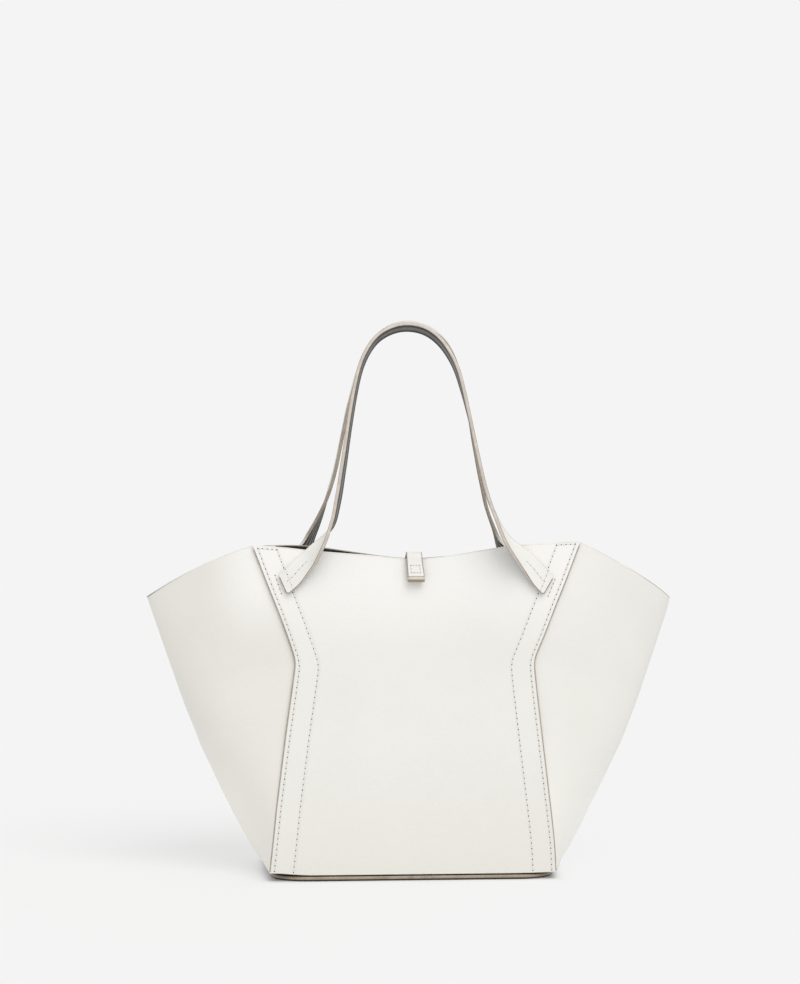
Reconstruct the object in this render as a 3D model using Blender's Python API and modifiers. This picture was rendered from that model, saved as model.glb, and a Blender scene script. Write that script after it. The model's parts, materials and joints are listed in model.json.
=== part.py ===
"""Reversible tote bag: hourglass front and back panels lapped over two wrap-around gussets, each wall an outer leather
ply and a lining ply, a boarded base, two twisted strap handles and a closure strap across the mouth.

Metres, +Z up, -Y is the front. The bag stands on Z = 0, centred on X = 0 and Y = 0."""

import math

import bmesh
import bpy
import numpy as np
from mathutils import Vector

# Driving dimensions, in metres.
OUTER_PLY = 0.0014
LINING_PLY = 0.0011
GAP = 0.0003
WALL = OUTER_PLY + GAP + LINING_PLY
PANEL_BOTTOM = 0.0055
PANEL_TOP = 0.310
SCOOP = 0.015
SCOOP_HALF = 0.140
HALF_AT_BOTTOM = 0.1321
HALF_AT_WAIST = 0.1100
HALF_AT_TOP = 0.1510
WAIST_HEIGHT = 0.2017
WAIST_SOFTNESS = 0.0030
DEPTH_AT_BOTTOM = 0.0755
DEPTH_AT_TOP = 0.0660
MOUTH_INDENT = 0.0130
FOLD_TOP = 0.258
FOLD_HALF = (0.1427, 0.4704, 0.1138, -1.4764)
FLANGE = 0.0260
GUSSET_START_ANGLE = math.radians(12.0)

SOLE_HALF = (0.1330, 0.0768)
SOLE_THICKNESS = 0.0048
SOLE_CORNER = 0.0360
BOARD_HALF = (0.1385, 0.0690)
BOARD_CORNER = 0.0280
BOARD_THICKNESS = 0.0023
BASE_LINING_THICKNESS = 0.0011

STRAP_WIDTH = 0.0203
STRAP_PLY = 0.00185
STRAP_THICKNESS = 2 * STRAP_PLY + GAP
HANDLE_TOP = 0.5180
ARCH_RADIUS = 0.0480
BRANCH_SLOPE = math.radians(9.4)
BRANCH_LENGTH = 0.1143
BEND_RADIUS = 0.1257
END_SLOPE = math.radians(42.0)
END_LENGTH = 0.0371
END_CUT = math.radians(22.0)
HINGE_HEIGHT = 0.2975
TWIST_LENGTH = 0.0770
HANDLE_LEAN = math.radians(11.3)
LEAN_FROM = 0.325

THREAD_WIDTH = 0.0008
THREAD_HEIGHT = 0.0005
OUTER_ROW = 0.0045
INNER_ROW = 0.0220
TOP_ROW = 0.0040

TAB_WIDTH = 0.0180
TAB_PLY = 0.0024
TAB_THICKNESS = 2 * TAB_PLY + GAP
TAB_DROP = 0.0220
TAB_RISE = 0.0042
TAB_FOLD = 0.0036
TAB_STAND_OFF = 0.0040
TAB_KICK = 0.0030
ANCHOR_DROP = 0.0400
ANCHOR_BEND = 0.0060
CROSS_LEVEL = 0.2880
CROSS_SAG = 0.0020
CROSS_FLAT = 0.74
MAGNET_RADIUS = 0.0045
MAGNET_THICKNESS = 0.0010
PANEL_MAGNET_RADIUS = 0.0050
MAGNET_COVER_RADIUS = 0.0085
MAGNET_COVER_THICKNESS = 0.0022


def clear_scene():
    for obj in list(bpy.data.objects):
        bpy.data.objects.remove(obj, do_unlink=True)


def panel_half(z):
    """Half width of the hourglass panel: two straight flanks joined by a soft waist."""
    low = HALF_AT_BOTTOM + (HALF_AT_WAIST - HALF_AT_BOTTOM) * (z - PANEL_BOTTOM) / (
        WAIST_HEIGHT - PANEL_BOTTOM
    )
    high = HALF_AT_WAIST + (HALF_AT_TOP - HALF_AT_WAIST) * (z - WAIST_HEIGHT) / (
        PANEL_TOP - WAIST_HEIGHT
    )
    return 0.5 * (low + high + math.hypot(low - high, WAIST_SOFTNESS))


def fold_half(z):
    """Half width of the bag at the gusset's middle fold."""
    a, b, c, d = FOLD_HALF
    return a + b * z + c * z * z + d * z**3


def mouth(x):
    """How far along the scoop of the mouth a point is: 1 at the middle, 0 from SCOOP_HALF outwards."""
    if abs(x) >= SCOOP_HALF:
        return 0.0
    return math.cos(0.5 * math.pi * x / SCOOP_HALF) ** 2.4


def top_height(x):
    return PANEL_TOP - SCOOP * mouth(x)


def panel_depth(x, z):
    """Distance of a panel's outer face from the middle plane Y = 0."""
    rise = z / PANEL_TOP
    return (
        DEPTH_AT_BOTTOM
        - (DEPTH_AT_BOTTOM - DEPTH_AT_TOP) * rise
        - MOUTH_INDENT * rise**2.5 * mouth(x)
    )


def wall_rows():
    """Fractions of the height at which walls have a row of points: closer around the waist."""
    waist = (WAIST_HEIGHT - PANEL_BOTTOM) / (PANEL_TOP - PANEL_BOTTOM)
    below = np.linspace(0.0, waist - 0.03, 5)
    above = np.linspace(waist + 0.03, 1.0, 5)
    return [float(t) for t in below] + [waist] + [float(t) for t in above]


def material(name, colour, roughness, metallic=0.0):
    found = bpy.data.materials.new(name)
    found.use_nodes = True
    shader = found.node_tree.nodes["Principled BSDF"]
    shader.inputs["Base Color"].default_value = (*colour, 1.0)
    shader.inputs["Roughness"].default_value = roughness
    shader.inputs["Metallic"].default_value = metallic
    found.diffuse_color = (*colour, 1.0)
    return found


def new_object(name, mesh, collection, colour, roughness=0.55, metallic=0.0):
    obj = bpy.data.objects.new(name, mesh)
    mesh.materials.append(material(name + "_material", colour, roughness, metallic))
    collection.objects.link(obj)
    return obj


def outward(mesh):
    """Points every face of a closed mesh outwards."""
    bm = bmesh.new()
    bm.from_mesh(mesh)
    bmesh.ops.recalc_face_normals(bm, faces=bm.faces)
    if bm.calc_volume(signed=True) < 0:
        bmesh.ops.reverse_faces(bm, faces=bm.faces)
    bm.to_mesh(mesh)
    bm.free()


def loft_between(name, near, far):
    """A closed skin between two equal grids of points, joined all round their borders."""
    rows, columns = len(near), len(near[0])
    points = [tuple(p) for grid in (near, far) for row in grid for p in row]
    step = rows * columns

    def at(r, c, layer):
        return layer * step + r * columns + c

    faces = []
    for r in range(rows - 1):
        for c in range(columns - 1):
            faces.append((at(r, c, 0), at(r, c + 1, 0), at(r + 1, c + 1, 0), at(r + 1, c, 0)))
            faces.append((at(r, c, 1), at(r + 1, c, 1), at(r + 1, c + 1, 1), at(r, c + 1, 1)))
    for c in range(columns - 1):
        faces.append((at(0, c, 0), at(0, c, 1), at(0, c + 1, 1), at(0, c + 1, 0)))
        last = rows - 1
        faces.append((at(last, c, 0), at(last, c + 1, 0), at(last, c + 1, 1), at(last, c, 1)))
    for r in range(rows - 1):
        faces.append((at(r, 0, 0), at(r + 1, 0, 0), at(r + 1, 0, 1), at(r, 0, 1)))
        last = columns - 1
        faces.append((at(r, last, 0), at(r, last, 1), at(r + 1, last, 1), at(r + 1, last, 0)))
    mesh = bpy.data.meshes.new(name)
    mesh.from_pydata(points, [], faces)
    mesh.update()
    outward(mesh)
    return mesh


# Walls.
def panel_grid(side, depth_in):
    """Points of a panel's surface, depth_in inside its outer face. side is -1 at the front and 1 at the back."""
    grid = []
    for t in wall_rows():
        row = []
        for s in np.linspace(-1.0, 1.0, 13):
            top = top_height(s * HALF_AT_TOP)
            z = PANEL_BOTTOM + t * (top - PANEL_BOTTOM)
            x = float(s) * panel_half(PANEL_BOTTOM + t * (PANEL_TOP - PANEL_BOTTOM))
            row.append((x, side * (panel_depth(x, z) - depth_in), z))
        grid.append(row)
    return grid


def gusset_line(t):
    """One level line of a gusset's outer face on the +X side, from the front flange to the middle fold."""
    z_seam = PANEL_BOTTOM + t * (PANEL_TOP - PANEL_BOTTOM)
    z_fold = PANEL_BOTTOM + t * (FOLD_TOP - PANEL_BOTTOM)
    half = panel_half(z_seam)
    under = WALL + GAP
    line = []
    for k in (1.0, 0.5):
        x = half - FLANGE * k
        z = PANEL_BOTTOM + t * (top_height(x) - PANEL_BOTTOM)
        line.append(Vector((x, -(panel_depth(x, z) - under), z)))
    reach = fold_half(z_fold) - half
    depth = panel_depth(half, z_seam) - under
    start = Vector((half, -depth))
    lead = (0.62 - 0.16 * t) * reach
    tail = 0.060 - 0.036 * z_fold / FOLD_TOP
    one = start + lead * Vector((math.cos(GUSSET_START_ANGLE), math.sin(GUSSET_START_ANGLE)))
    end = Vector((half + reach, 0.0))
    two = end - Vector((0.0, tail))
    for k in range(9):
        u = k / 8.0
        p = (
            (1 - u) ** 3 * start
            + 3 * (1 - u) ** 2 * u * one
            + 3 * (1 - u) * u * u * two
            + u**3 * end
        )
        along = min(max((p.x - half) / reach, 0.0), 1.0)
        z = z_seam + (z_fold - z_seam) * along**1.15
        line.append(Vector((p.x, p.y, z)))
    return line


def gusset_outer_grid():
    grid = []
    for t in wall_rows():
        line = gusset_line(t)
        back = [Vector((p.x, -p.y, p.z)) for p in reversed(line[:-1])]
        grid.append(line + back)
    return grid


def inset_grid(grid, depth_in):
    """The same grid moved inwards along its own level normals."""
    moved = []
    for row in grid:
        line = []
        for c, p in enumerate(row):
            before, after = row[max(c - 1, 0)], row[min(c + 1, len(row) - 1)]
            tangent = Vector((after.x - before.x, after.y - before.y)).normalized()
            line.append(Vector((p.x - depth_in * tangent.y, p.y + depth_in * tangent.x, p.z)))
        moved.append(line)
    return moved


def make_panel(name, side, near, far, collection, colour):
    mesh = loft_between(name, panel_grid(side, near), panel_grid(side, far))
    return new_object(name, mesh, collection, colour)


def make_gusset(name, side, near, far, collection, colour):
    grid = gusset_outer_grid()
    layers = []
    for depth_in in (near, far):
        layers.append([[(side * p.x, p.y, p.z) for p in row] for row in inset_grid(grid, depth_in)])
    return new_object(name, loft_between(name, *layers), collection, colour)


def rounded_slab(name, half, corner, low, high, edge, collection, colour):
    """A flat slab with round corners and softened edges."""
    bm = bmesh.new()
    ring = []
    for quarter in range(4):
        cx = (half[0] - corner) * (1 if quarter in (0, 3) else -1)
        cy = (half[1] - corner) * (1 if quarter in (0, 1) else -1)
        for k in range(7):
            a = 0.5 * math.pi * (quarter + k / 6.0)
            ring.append(bm.verts.new((cx + corner * math.cos(a), cy + corner * math.sin(a), low)))
    face = bm.faces.new(ring)
    raised = bmesh.ops.extrude_face_region(bm, geom=[face])
    for v in (g for g in raised["geom"] if isinstance(g, bmesh.types.BMVert)):
        v.co.z = high
    bmesh.ops.recalc_face_normals(bm, faces=bm.faces)
    mesh = bpy.data.meshes.new(name)
    bm.to_mesh(mesh)
    bm.free()
    obj = new_object(name, mesh, collection, colour)
    soften = obj.modifiers.new("soft_edge", "BEVEL")
    soften.width = edge
    soften.segments = 2
    soften.limit_method = "ANGLE"
    soften.angle_limit = math.radians(50.0)
    return obj


# Handles.
def handle_station(s):
    """Heading and (x, z) of the strap's centre line at arc length s from the top of the arch, on the +X side."""
    arch = ARCH_RADIUS * (0.5 * math.pi - BRANCH_SLOPE)
    bend = BEND_RADIUS * (END_SLOPE - BRANCH_SLOPE)
    x, z = 0.0, HANDLE_TOP
    a = min(s, arch) / ARCH_RADIUS
    x += ARCH_RADIUS * math.sin(a)
    z -= ARCH_RADIUS * (1 - math.cos(a))
    heading = a
    if s > arch:
        run = min(s - arch, BRANCH_LENGTH)
        x += run * math.cos(heading)
        z -= run * math.sin(heading)
    if s > arch + BRANCH_LENGTH:
        turn = min(s - arch - BRANCH_LENGTH, bend) / BEND_RADIUS
        last = heading - turn
        x += BEND_RADIUS * (math.sin(heading) - math.sin(last))
        z -= BEND_RADIUS * (math.cos(last) - math.cos(heading))
        heading = last
    rest = s - arch - BRANCH_LENGTH - bend
    if rest > 0:
        x += rest * math.cos(heading)
        z -= rest * math.sin(heading)
    return x, z


def arc_at_height(height):
    """Arc length at which the strap's centre line has come down to a height."""
    low, high = 0.0, 0.5
    for _ in range(60):
        middle = 0.5 * (low + high)
        if handle_station(middle)[1] > height:
            low = middle
        else:
            high = middle
    return 0.5 * (low + high)


HINGE_ARC = arc_at_height(HINGE_HEIGHT)
HANDLE_FACE = panel_depth(SCOOP_HALF, HINGE_HEIGHT) + GAP
PANEL_LEAN = math.atan((DEPTH_AT_BOTTOM - DEPTH_AT_TOP) / PANEL_TOP)


def smooth(t):
    t = min(max(t, 0.0), 1.0)
    return t * t * (3 - 2 * t)


def twist_at(s):
    """Quarter turn of the strap, from flat on the panel at the hinge to edge-on in the arch."""
    return 0.5 * math.pi * smooth((HINGE_ARC - s) / TWIST_LENGTH)


def strap_centre(s):
    """Centre line of the arch's strap on the +X side at arc length s from the top."""
    x, z = handle_station(s)
    y = -(HANDLE_FACE + 0.5 * STRAP_THICKNESS) - 0.5 * STRAP_WIDTH * math.sin(twist_at(s))
    above = z - LEAN_FROM
    y += (
        math.tan(HANDLE_LEAN)
        * 0.5
        * (above + math.hypot(above, 0.012))
        * smooth((HINGE_ARC - s) / 0.02)
    )
    return Vector((x, y, z))


def strap_frame(s):
    """Centre, run, width and outward directions of the arch's strap on the +X side at arc length s."""
    if s < 1e-6:
        run = Vector((1.0, 0.0, 0.0))
    else:
        run = (strap_centre(s + 0.0005) - strap_centre(s - 0.0005)).normalized()
    lean = PANEL_LEAN + (HANDLE_LEAN - PANEL_LEAN) * smooth((HINGE_ARC - s) / TWIST_LENGTH)
    forward = Vector((0.0, -math.cos(lean), math.sin(lean)))
    forward = (forward - forward.dot(run) * run).normalized()
    turn = twist_at(s)
    width = math.cos(turn) * run.cross(forward) + math.sin(turn) * forward
    return strap_centre(s), run, width, width.cross(run)


def ply_ring(s, low, high, hinge_cut):
    """Six points around a ply of the strap, from low to high along its outward direction. Negative s is the -X side."""
    centre, run, width, out = strap_frame(abs(s))
    half = 0.5 * STRAP_WIDTH
    chamfer = 0.0005
    corners = [
        (-half, low),
        (half, low),
        (half, high - chamfer),
        (half - chamfer, high),
        (-half + chamfer, high),
        (-half, high - chamfer),
    ]
    ring = [centre + a * width + b * out for a, b in corners]
    if hinge_cut:
        ring = [p + run * ((HINGE_HEIGHT + 0.5 * GAP - p.z) / run.z) for p in ring]
    if s < 0:
        ring = [Vector((-p.x, p.y, p.z)) for p in ring]
    return ring


def arch_stations():
    """Arc lengths along the whole arch, closer where the strap bends and twists."""
    half = []
    arch = ARCH_RADIUS * (0.5 * math.pi - BRANCH_SLOPE)
    half += list(np.linspace(0.0, arch, 9))
    half += list(np.linspace(arch, HINGE_ARC - TWIST_LENGTH, 4))[1:]
    half += list(np.linspace(HINGE_ARC - TWIST_LENGTH, HINGE_ARC - 0.016, 8))[1:]
    half.append(HINGE_ARC)
    return [-float(s) for s in reversed(half[1:])] + [float(s) for s in half]


def ring_loft(name, rings, high_columns=None):
    """A closed skin round a run of rings. Where high_columns is given, each side is split into triangles, with the
    diagonals of those columns turned, so that two plies of one twisted strap keep parallel faces."""
    count = len(rings[0])
    points = [tuple(p) for ring in rings for p in ring]
    faces = []
    for r in range(len(rings) - 1):
        for c in range(count):
            d = (c + 1) % count
            here, on = r * count, (r + 1) * count
            if high_columns is None:
                faces.append((here + c, here + d, on + d, on + c))
            elif c in high_columns:
                faces += [(here + c, here + d, on + c), (here + d, on + d, on + c)]
            else:
                faces += [(here + c, here + d, on + d), (here + c, on + d, on + c)]
    faces.append(tuple(range(count)))
    faces.append(tuple((len(rings) - 1) * count + c for c in range(count)))
    mesh = bpy.data.meshes.new(name)
    mesh.from_pydata(points, [], faces)
    mesh.update()
    outward(mesh)
    return mesh


def make_arch(name, side, low, high, collection, colour):
    stations = arch_stations()
    rings = []
    for k, s in enumerate(stations):
        ring = ply_ring(s, low, high, k in (0, len(stations) - 1))
        rings.append([(p.x, -side * p.y, p.z) for p in ring])
    return new_object(name, ring_loft(name, rings, (2, 3, 4)), collection, colour)


def make_handle_end(name, side, hand, collection, colour):
    """The stitched end of a strap, flat on the panel: its top is cut level at the hinge and its foot follows the seam."""
    hx, hz = handle_station(HINGE_ARC)
    ex, ez = handle_station(HINGE_ARC + END_LENGTH * 0.86)
    along = Vector((ex - hx, ez - hz)).normalized()
    across = Vector((along.y, -along.x))
    half = 0.5 * STRAP_WIDTH
    inner = Vector((hx, hz)) + across * half
    outer = Vector((hx, hz)) - across * half
    level = HINGE_HEIGHT - 0.5 * GAP
    cut = Vector((math.sin(END_CUT), math.cos(END_CUT)))

    def slide(p, height):
        return p + along * ((height - p.y) / along.y)

    def meet(p):
        """Where the strap's edge through p meets the foot line through (ex, ez)."""
        d = Vector((ex, ez)) - p
        k = (d.x * cut.y - d.y * cut.x) / (along.x * cut.y - along.y * cut.x)
        return p + along * k

    top_in, top_out = slide(inner, level), slide(outer, level)
    foot_in, foot_out = meet(inner), meet(outer)
    outline = [top_in, top_out]
    for before, corner, after in (
        (top_out, foot_out, foot_in),
        (foot_out, foot_in, top_in),
    ):
        r = 0.0028
        a = corner + (before - corner).normalized() * r
        b = corner + (after - corner).normalized() * r
        for k in range(5):
            u = k / 4.0
            outline.append((1 - u) ** 2 * a + 2 * (1 - u) * u * corner + u * u * b)
    rings = []
    for depth, inset in (
        (GAP, 0.0),
        (GAP + STRAP_THICKNESS - 0.0006, 0.0),
        (GAP + STRAP_THICKNESS, 0.0006),
    ):
        centre = sum(outline, Vector((0.0, 0.0))) / len(outline)
        ring = []
        for p in outline:
            q = p
            if inset and p.y < level - 0.001:
                q = p + (centre - p).normalized() * inset
            ring.append((hand * q.x, side * (panel_depth(SCOOP_HALF, q.y) + depth), q.y))
        rings.append(ring)
    return new_object(name, ring_loft(name, rings), collection, colour)


def make_backing(name, side, hand, collection, colour):
    """Leather patch inside the wall behind a handle's stitched end."""
    grid_near, grid_far = [], []
    for z in np.linspace(0.258, 0.300, 4):
        near, far = [], []
        for x in np.linspace(0.094, 0.1325, 5):
            inside = panel_depth(x, z) - (2 * WALL + 2 * GAP)
            near.append((hand * x, side * inside, z))
            far.append((hand * x, side * (inside - 0.0012), z))
        grid_near.append(near)
        grid_far.append(far)
    return new_object(name, loft_between(name, grid_near, grid_far), collection, colour)


# Seam threads.
def run_ring(point, along, outward_dir):
    across = along.cross(outward_dir).normalized()
    low, high = GAP, GAP + THREAD_HEIGHT
    half = 0.5 * THREAD_WIDTH
    return [
        point + across * half + outward_dir * low,
        point - across * half + outward_dir * low,
        point - across * half + outward_dir * high,
        point + across * half + outward_dir * high,
    ]


def thread_solid(path, side, hand):
    """Rings of a thread run lying on a panel's outer face along (x, z) points."""
    rings = []
    front = Vector((0.0, -1.0, 0.0))
    for k, (x, z) in enumerate(path):
        before, after = path[max(k - 1, 0)], path[min(k + 1, len(path) - 1)]
        along = Vector((after[0] - before[0], 0.0, after[1] - before[1])).normalized()
        point = Vector((x, -panel_depth(x, z), z))
        rings.append([(hand * p.x, -side * p.y, p.z) for p in run_ring(point, along, front)])
    return rings


def make_seam_thread(name, side, hand, collection, colour):
    def row(inset, low, high, count):
        return [
            (panel_half(z) - inset, z) for z in (float(v) for v in np.linspace(low, high, count))
        ]

    foot = PANEL_BOTTOM + 0.002
    outer = row(OUTER_ROW, foot, PANEL_TOP - TOP_ROW - 0.0035, 17)
    cross_top = PANEL_TOP - TOP_ROW
    last = outer[-1][0]
    first_in = panel_half(cross_top) - INNER_ROW
    across = [(last - 0.003 - u * (last - 0.006 - first_in), cross_top) for u in (0.0, 0.5, 1.0)]
    down = list(reversed(row(INNER_ROW, 0.2925, cross_top - 0.003, 3)))
    inner = list(reversed(row(INNER_ROW, foot + 0.003, 0.2600, 14)))
    foot_in, foot_out = inner[-1][0], outer[0][0]
    under = [(foot_in + 0.003 + u * (foot_out - foot_in - 0.006), foot) for u in (0.0, 0.5, 1.0)]
    outer[0] = (panel_half(foot + 0.003) - OUTER_ROW, foot + 0.003)
    path = inner + under + outer + across + down
    mesh = ring_loft(name, thread_solid(path, side, hand))
    return new_object(name, mesh, collection, colour)


# Closure strap: from the back panel's inside, across the mouth, then down over the front edge.
MID_TOP = top_height(0.0)
STRAP_LEVEL = MID_TOP + TAB_RISE
HALF_TAB = 0.5 * TAB_THICKNESS
ANCHOR_TOP = CROSS_LEVEL - ANCHOR_BEND
CLOSURE_HINGE_Y = panel_depth(0.0, ANCHOR_TOP) - WALL - GAP - HALF_TAB - ANCHOR_BEND
TAB_HINGE_Y = -(panel_depth(0.0, MID_TOP) + TAB_STAND_OFF - TAB_FOLD)


def flat_strap(name, points, low, high, square_ends, collection, colour):
    """A strap of constant width swept along (y, z) points, its outward side up or to the front. square_ends are the
    indices of the ends that are cut upright, facing a hinge."""
    half, soft = 0.5 * TAB_WIDTH, 0.0006
    rings = []
    for k, (y, z) in enumerate(points):
        before, after = points[max(k - 1, 0)], points[min(k + 1, len(points) - 1)]
        along = Vector((0, after[0] - before[0], after[1] - before[1])).normalized()
        if k in square_ends:
            along = Vector((0, -1, 0))
        out = Vector((0, along.z, -along.y))
        centre = Vector((0, y, z))
        rings.append(
            [
                centre + Vector((-half, 0, 0)) + out * low,
                centre + Vector((half, 0, 0)) + out * low,
                centre + Vector((half, 0, 0)) + out * (high - soft),
                centre + Vector((half - soft, 0, 0)) + out * high,
                centre + Vector((-half + soft, 0, 0)) + out * high,
                centre + Vector((-half, 0, 0)) + out * (high - soft),
            ]
        )
    return new_object(name, ring_loft(name, rings), collection, colour)


def anchor_path():
    """From inside the back wall, up its lining, then bent forward to the hinge."""
    points = []
    for z in np.linspace(MID_TOP - ANCHOR_DROP, ANCHOR_TOP, 5):
        points.append((panel_depth(0.0, float(z)) - WALL - GAP - HALF_TAB, float(z)))
    y0 = points[-1][0]
    for k in range(1, 6):
        a = 0.5 * math.pi * k / 5.0
        points.append(
            (y0 - ANCHOR_BEND * (1 - math.cos(a)), ANCHOR_TOP + ANCHOR_BEND * math.sin(a))
        )
    points[-1] = (points[-1][0] + 0.5 * GAP, points[-1][1])
    return points


def crossing_path():
    """The part that crosses the mouth below its edges, from the back hinge, then rises to the front fold."""
    points = []
    start, end = CLOSURE_HINGE_Y - 0.5 * GAP, TAB_HINGE_Y + 0.5 * GAP
    stations = list(np.linspace(0.0, CROSS_FLAT, 8)) + list(np.linspace(CROSS_FLAT, 1.0, 9))[1:]
    for u in (float(v) for v in stations):
        sag = CROSS_SAG * math.sin(math.pi * min(u / CROSS_FLAT, 1.0)) ** 2
        rise = (STRAP_LEVEL - CROSS_LEVEL) * smooth((u - CROSS_FLAT) / (1 - CROSS_FLAT))
        points.append((start + (end - start) * u, CROSS_LEVEL - sag + rise))
    return points


def tab_path():
    """Round the fold and down the front panel, kicked out a little at the foot."""
    points = []
    for k in range(6):
        a = 0.5 * math.pi * k / 5.0
        points.append(
            (
                TAB_HINGE_Y - 0.5 * GAP - TAB_FOLD * math.sin(a),
                STRAP_LEVEL - TAB_FOLD * (1 - math.cos(a)),
            )
        )
    top = points[-1][1]
    for k in range(1, 7):
        u = k / 6.0
        z = top + (MID_TOP - TAB_DROP - top) * u
        y = -(panel_depth(0.0, min(z, MID_TOP)) + TAB_STAND_OFF + TAB_KICK * u * u)
        points.append((y, z))
    return points


def cylinder(name, centre, axis, radius, length, collection, colour, metallic=1.0, sides=24):
    bm = bmesh.new()
    bmesh.ops.create_cone(
        bm, cap_ends=True, segments=sides, radius1=radius, radius2=radius, depth=length
    )
    mesh = bpy.data.meshes.new(name)
    bm.to_mesh(mesh)
    bm.free()
    obj = new_object(name, mesh, collection, colour, 0.35, metallic)
    turn = Vector((0, 0, 1)).rotation_difference(axis).to_matrix().to_4x4()
    turn.translation = centre
    mesh.transform(turn)
    return obj


def cut(target, cutter):
    modifier = target.modifiers.new("pocket", "BOOLEAN")
    modifier.operation = "DIFFERENCE"
    modifier.solver = "EXACT"
    modifier.object = cutter


def main():
    clear_scene()
    bag = bpy.data.collections.new("reversible_tote_bag")
    cutters = bpy.data.collections.new("cutters")
    for collection in (bag, cutters):
        bpy.context.scene.collection.children.link(collection)
    cutters.hide_render = True

    ivory = (0.83, 0.82, 0.77)
    charcoal = (0.035, 0.034, 0.032)
    taupe = (0.36, 0.29, 0.22)
    steel = (0.60, 0.60, 0.60)
    thread = (0.70, 0.68, 0.62)
    board = (0.30, 0.24, 0.17)

    lining_near = OUTER_PLY + GAP
    for side, word in ((-1, "front"), (1, "back")):
        make_panel(word + "_panel_outer", side, 0.0, OUTER_PLY, bag, ivory)
        make_panel(word + "_panel_lining", side, lining_near, WALL, bag, charcoal)
    for side, word in ((-1, "left"), (1, "right")):
        make_gusset(word + "_gusset_outer", side, 0.0, OUTER_PLY, bag, ivory)
        make_gusset(word + "_gusset_lining", side, lining_near, WALL, bag, charcoal)

    rounded_slab("base_sole", SOLE_HALF, SOLE_CORNER, 0.0, SOLE_THICKNESS, 0.0012, bag, taupe)
    low = SOLE_THICKNESS + GAP
    high = low + BOARD_THICKNESS
    rounded_slab("base_board", BOARD_HALF, BOARD_CORNER, low, high, 0.0003, bag, board)
    low = high + GAP
    high = low + BASE_LINING_THICKNESS
    rounded_slab("base_lining", BOARD_HALF, BOARD_CORNER, low, high, 0.0003, bag, charcoal)

    for side, word in ((-1, "front"), (1, "back")):
        near = 0.5 * GAP
        far = 0.5 * STRAP_THICKNESS
        make_arch(word + "_handle_outer", side, near, far, bag, ivory)
        make_arch(word + "_handle_inner", side, -far, -near, bag, charcoal)
        for hand, hand_word in ((-1, "left"), (1, "right")):
            make_handle_end(f"{word}_{hand_word}_handle_end", side, hand, bag, ivory)
            make_backing(f"{word}_{hand_word}_handle_backing", side, hand, bag, charcoal)
            make_seam_thread(f"{word}_{hand_word}_seam_thread", side, hand, bag, thread)

    flat_strap("closure_strap_anchor", anchor_path(), -HALF_TAB, HALF_TAB, (9,), bag, charcoal)
    crossing, tab = crossing_path(), tab_path()
    flat_strap("closure_strap_outer", crossing, 0.5 * GAP, HALF_TAB, (0, 15), bag, ivory)
    flat_strap("closure_strap_inner", crossing, -HALF_TAB, -0.5 * GAP, (0, 15), bag, charcoal)
    tab_outer = flat_strap("closure_tab_outer", tab, 0.5 * GAP, HALF_TAB, (0,), bag, ivory)
    flat_strap("closure_tab_inner", tab, -HALF_TAB, -0.5 * GAP, (0,), bag, charcoal)

    # A magnet in a pocket of the tab's outer ply, and its partner under a patch on the front wall's lining.
    (y1, z1), (y2, z2) = tab[-5], tab[-3]
    along = Vector((0, y2 - y1, z2 - z1)).normalized()
    out = Vector((0, along.z, -along.y))
    centre = Vector((0, tab[-4][0], tab[-4][1]))
    top = 0.5 * GAP + 2 * GAP + MAGNET_THICKNESS
    seat = centre + out * (top - GAP - 0.5 * MAGNET_THICKNESS)
    cylinder("closure_magnet", seat, out, MAGNET_RADIUS, MAGNET_THICKNESS, bag, steel)
    pocket = cylinder(
        "tab_pocket",
        centre + out * (top - 0.5 * (top + 0.0008)),
        out,
        MAGNET_RADIUS + GAP,
        top + 0.0008,
        cutters,
        steel,
    )
    cut(tab_outer, pocket)

    z = centre.z
    slope = (panel_depth(0.0, z + 0.001) - panel_depth(0.0, z - 0.001)) / 0.002
    inward = Vector((0.0, 1.0, slope)).normalized()
    face = Vector((0.0, -panel_depth(0.0, z), z)) + inward * (WALL + GAP)
    cover = cylinder(
        "panel_magnet_cover",
        face + inward * 0.5 * MAGNET_COVER_THICKNESS,
        inward,
        MAGNET_COVER_RADIUS,
        MAGNET_COVER_THICKNESS,
        bag,
        charcoal,
        0.0,
    )
    depth = 2 * GAP + MAGNET_THICKNESS
    cylinder(
        "panel_magnet",
        face + inward * (GAP + 0.5 * MAGNET_THICKNESS),
        inward,
        PANEL_MAGNET_RADIUS,
        MAGNET_THICKNESS,
        bag,
        steel,
    )
    pocket = cylinder(
        "cover_pocket",
        face + inward * (0.5 * depth - 0.0005),
        inward,
        PANEL_MAGNET_RADIUS + GAP,
        depth + 0.001,
        cutters,
        steel,
    )
    cut(cover, pocket)
    for helper in cutters.objects:
        helper.hide_render = True
        helper.display_type = "WIRE"


main()
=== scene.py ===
"""Look of the reversible tote bag: lofted leather walls with painted edges, stitched seams, twisted strap handles and a
closure strap, standing on a pale floor in soft light.

Metres, +Z up, -Y is the front."""

import json
import math

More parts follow.
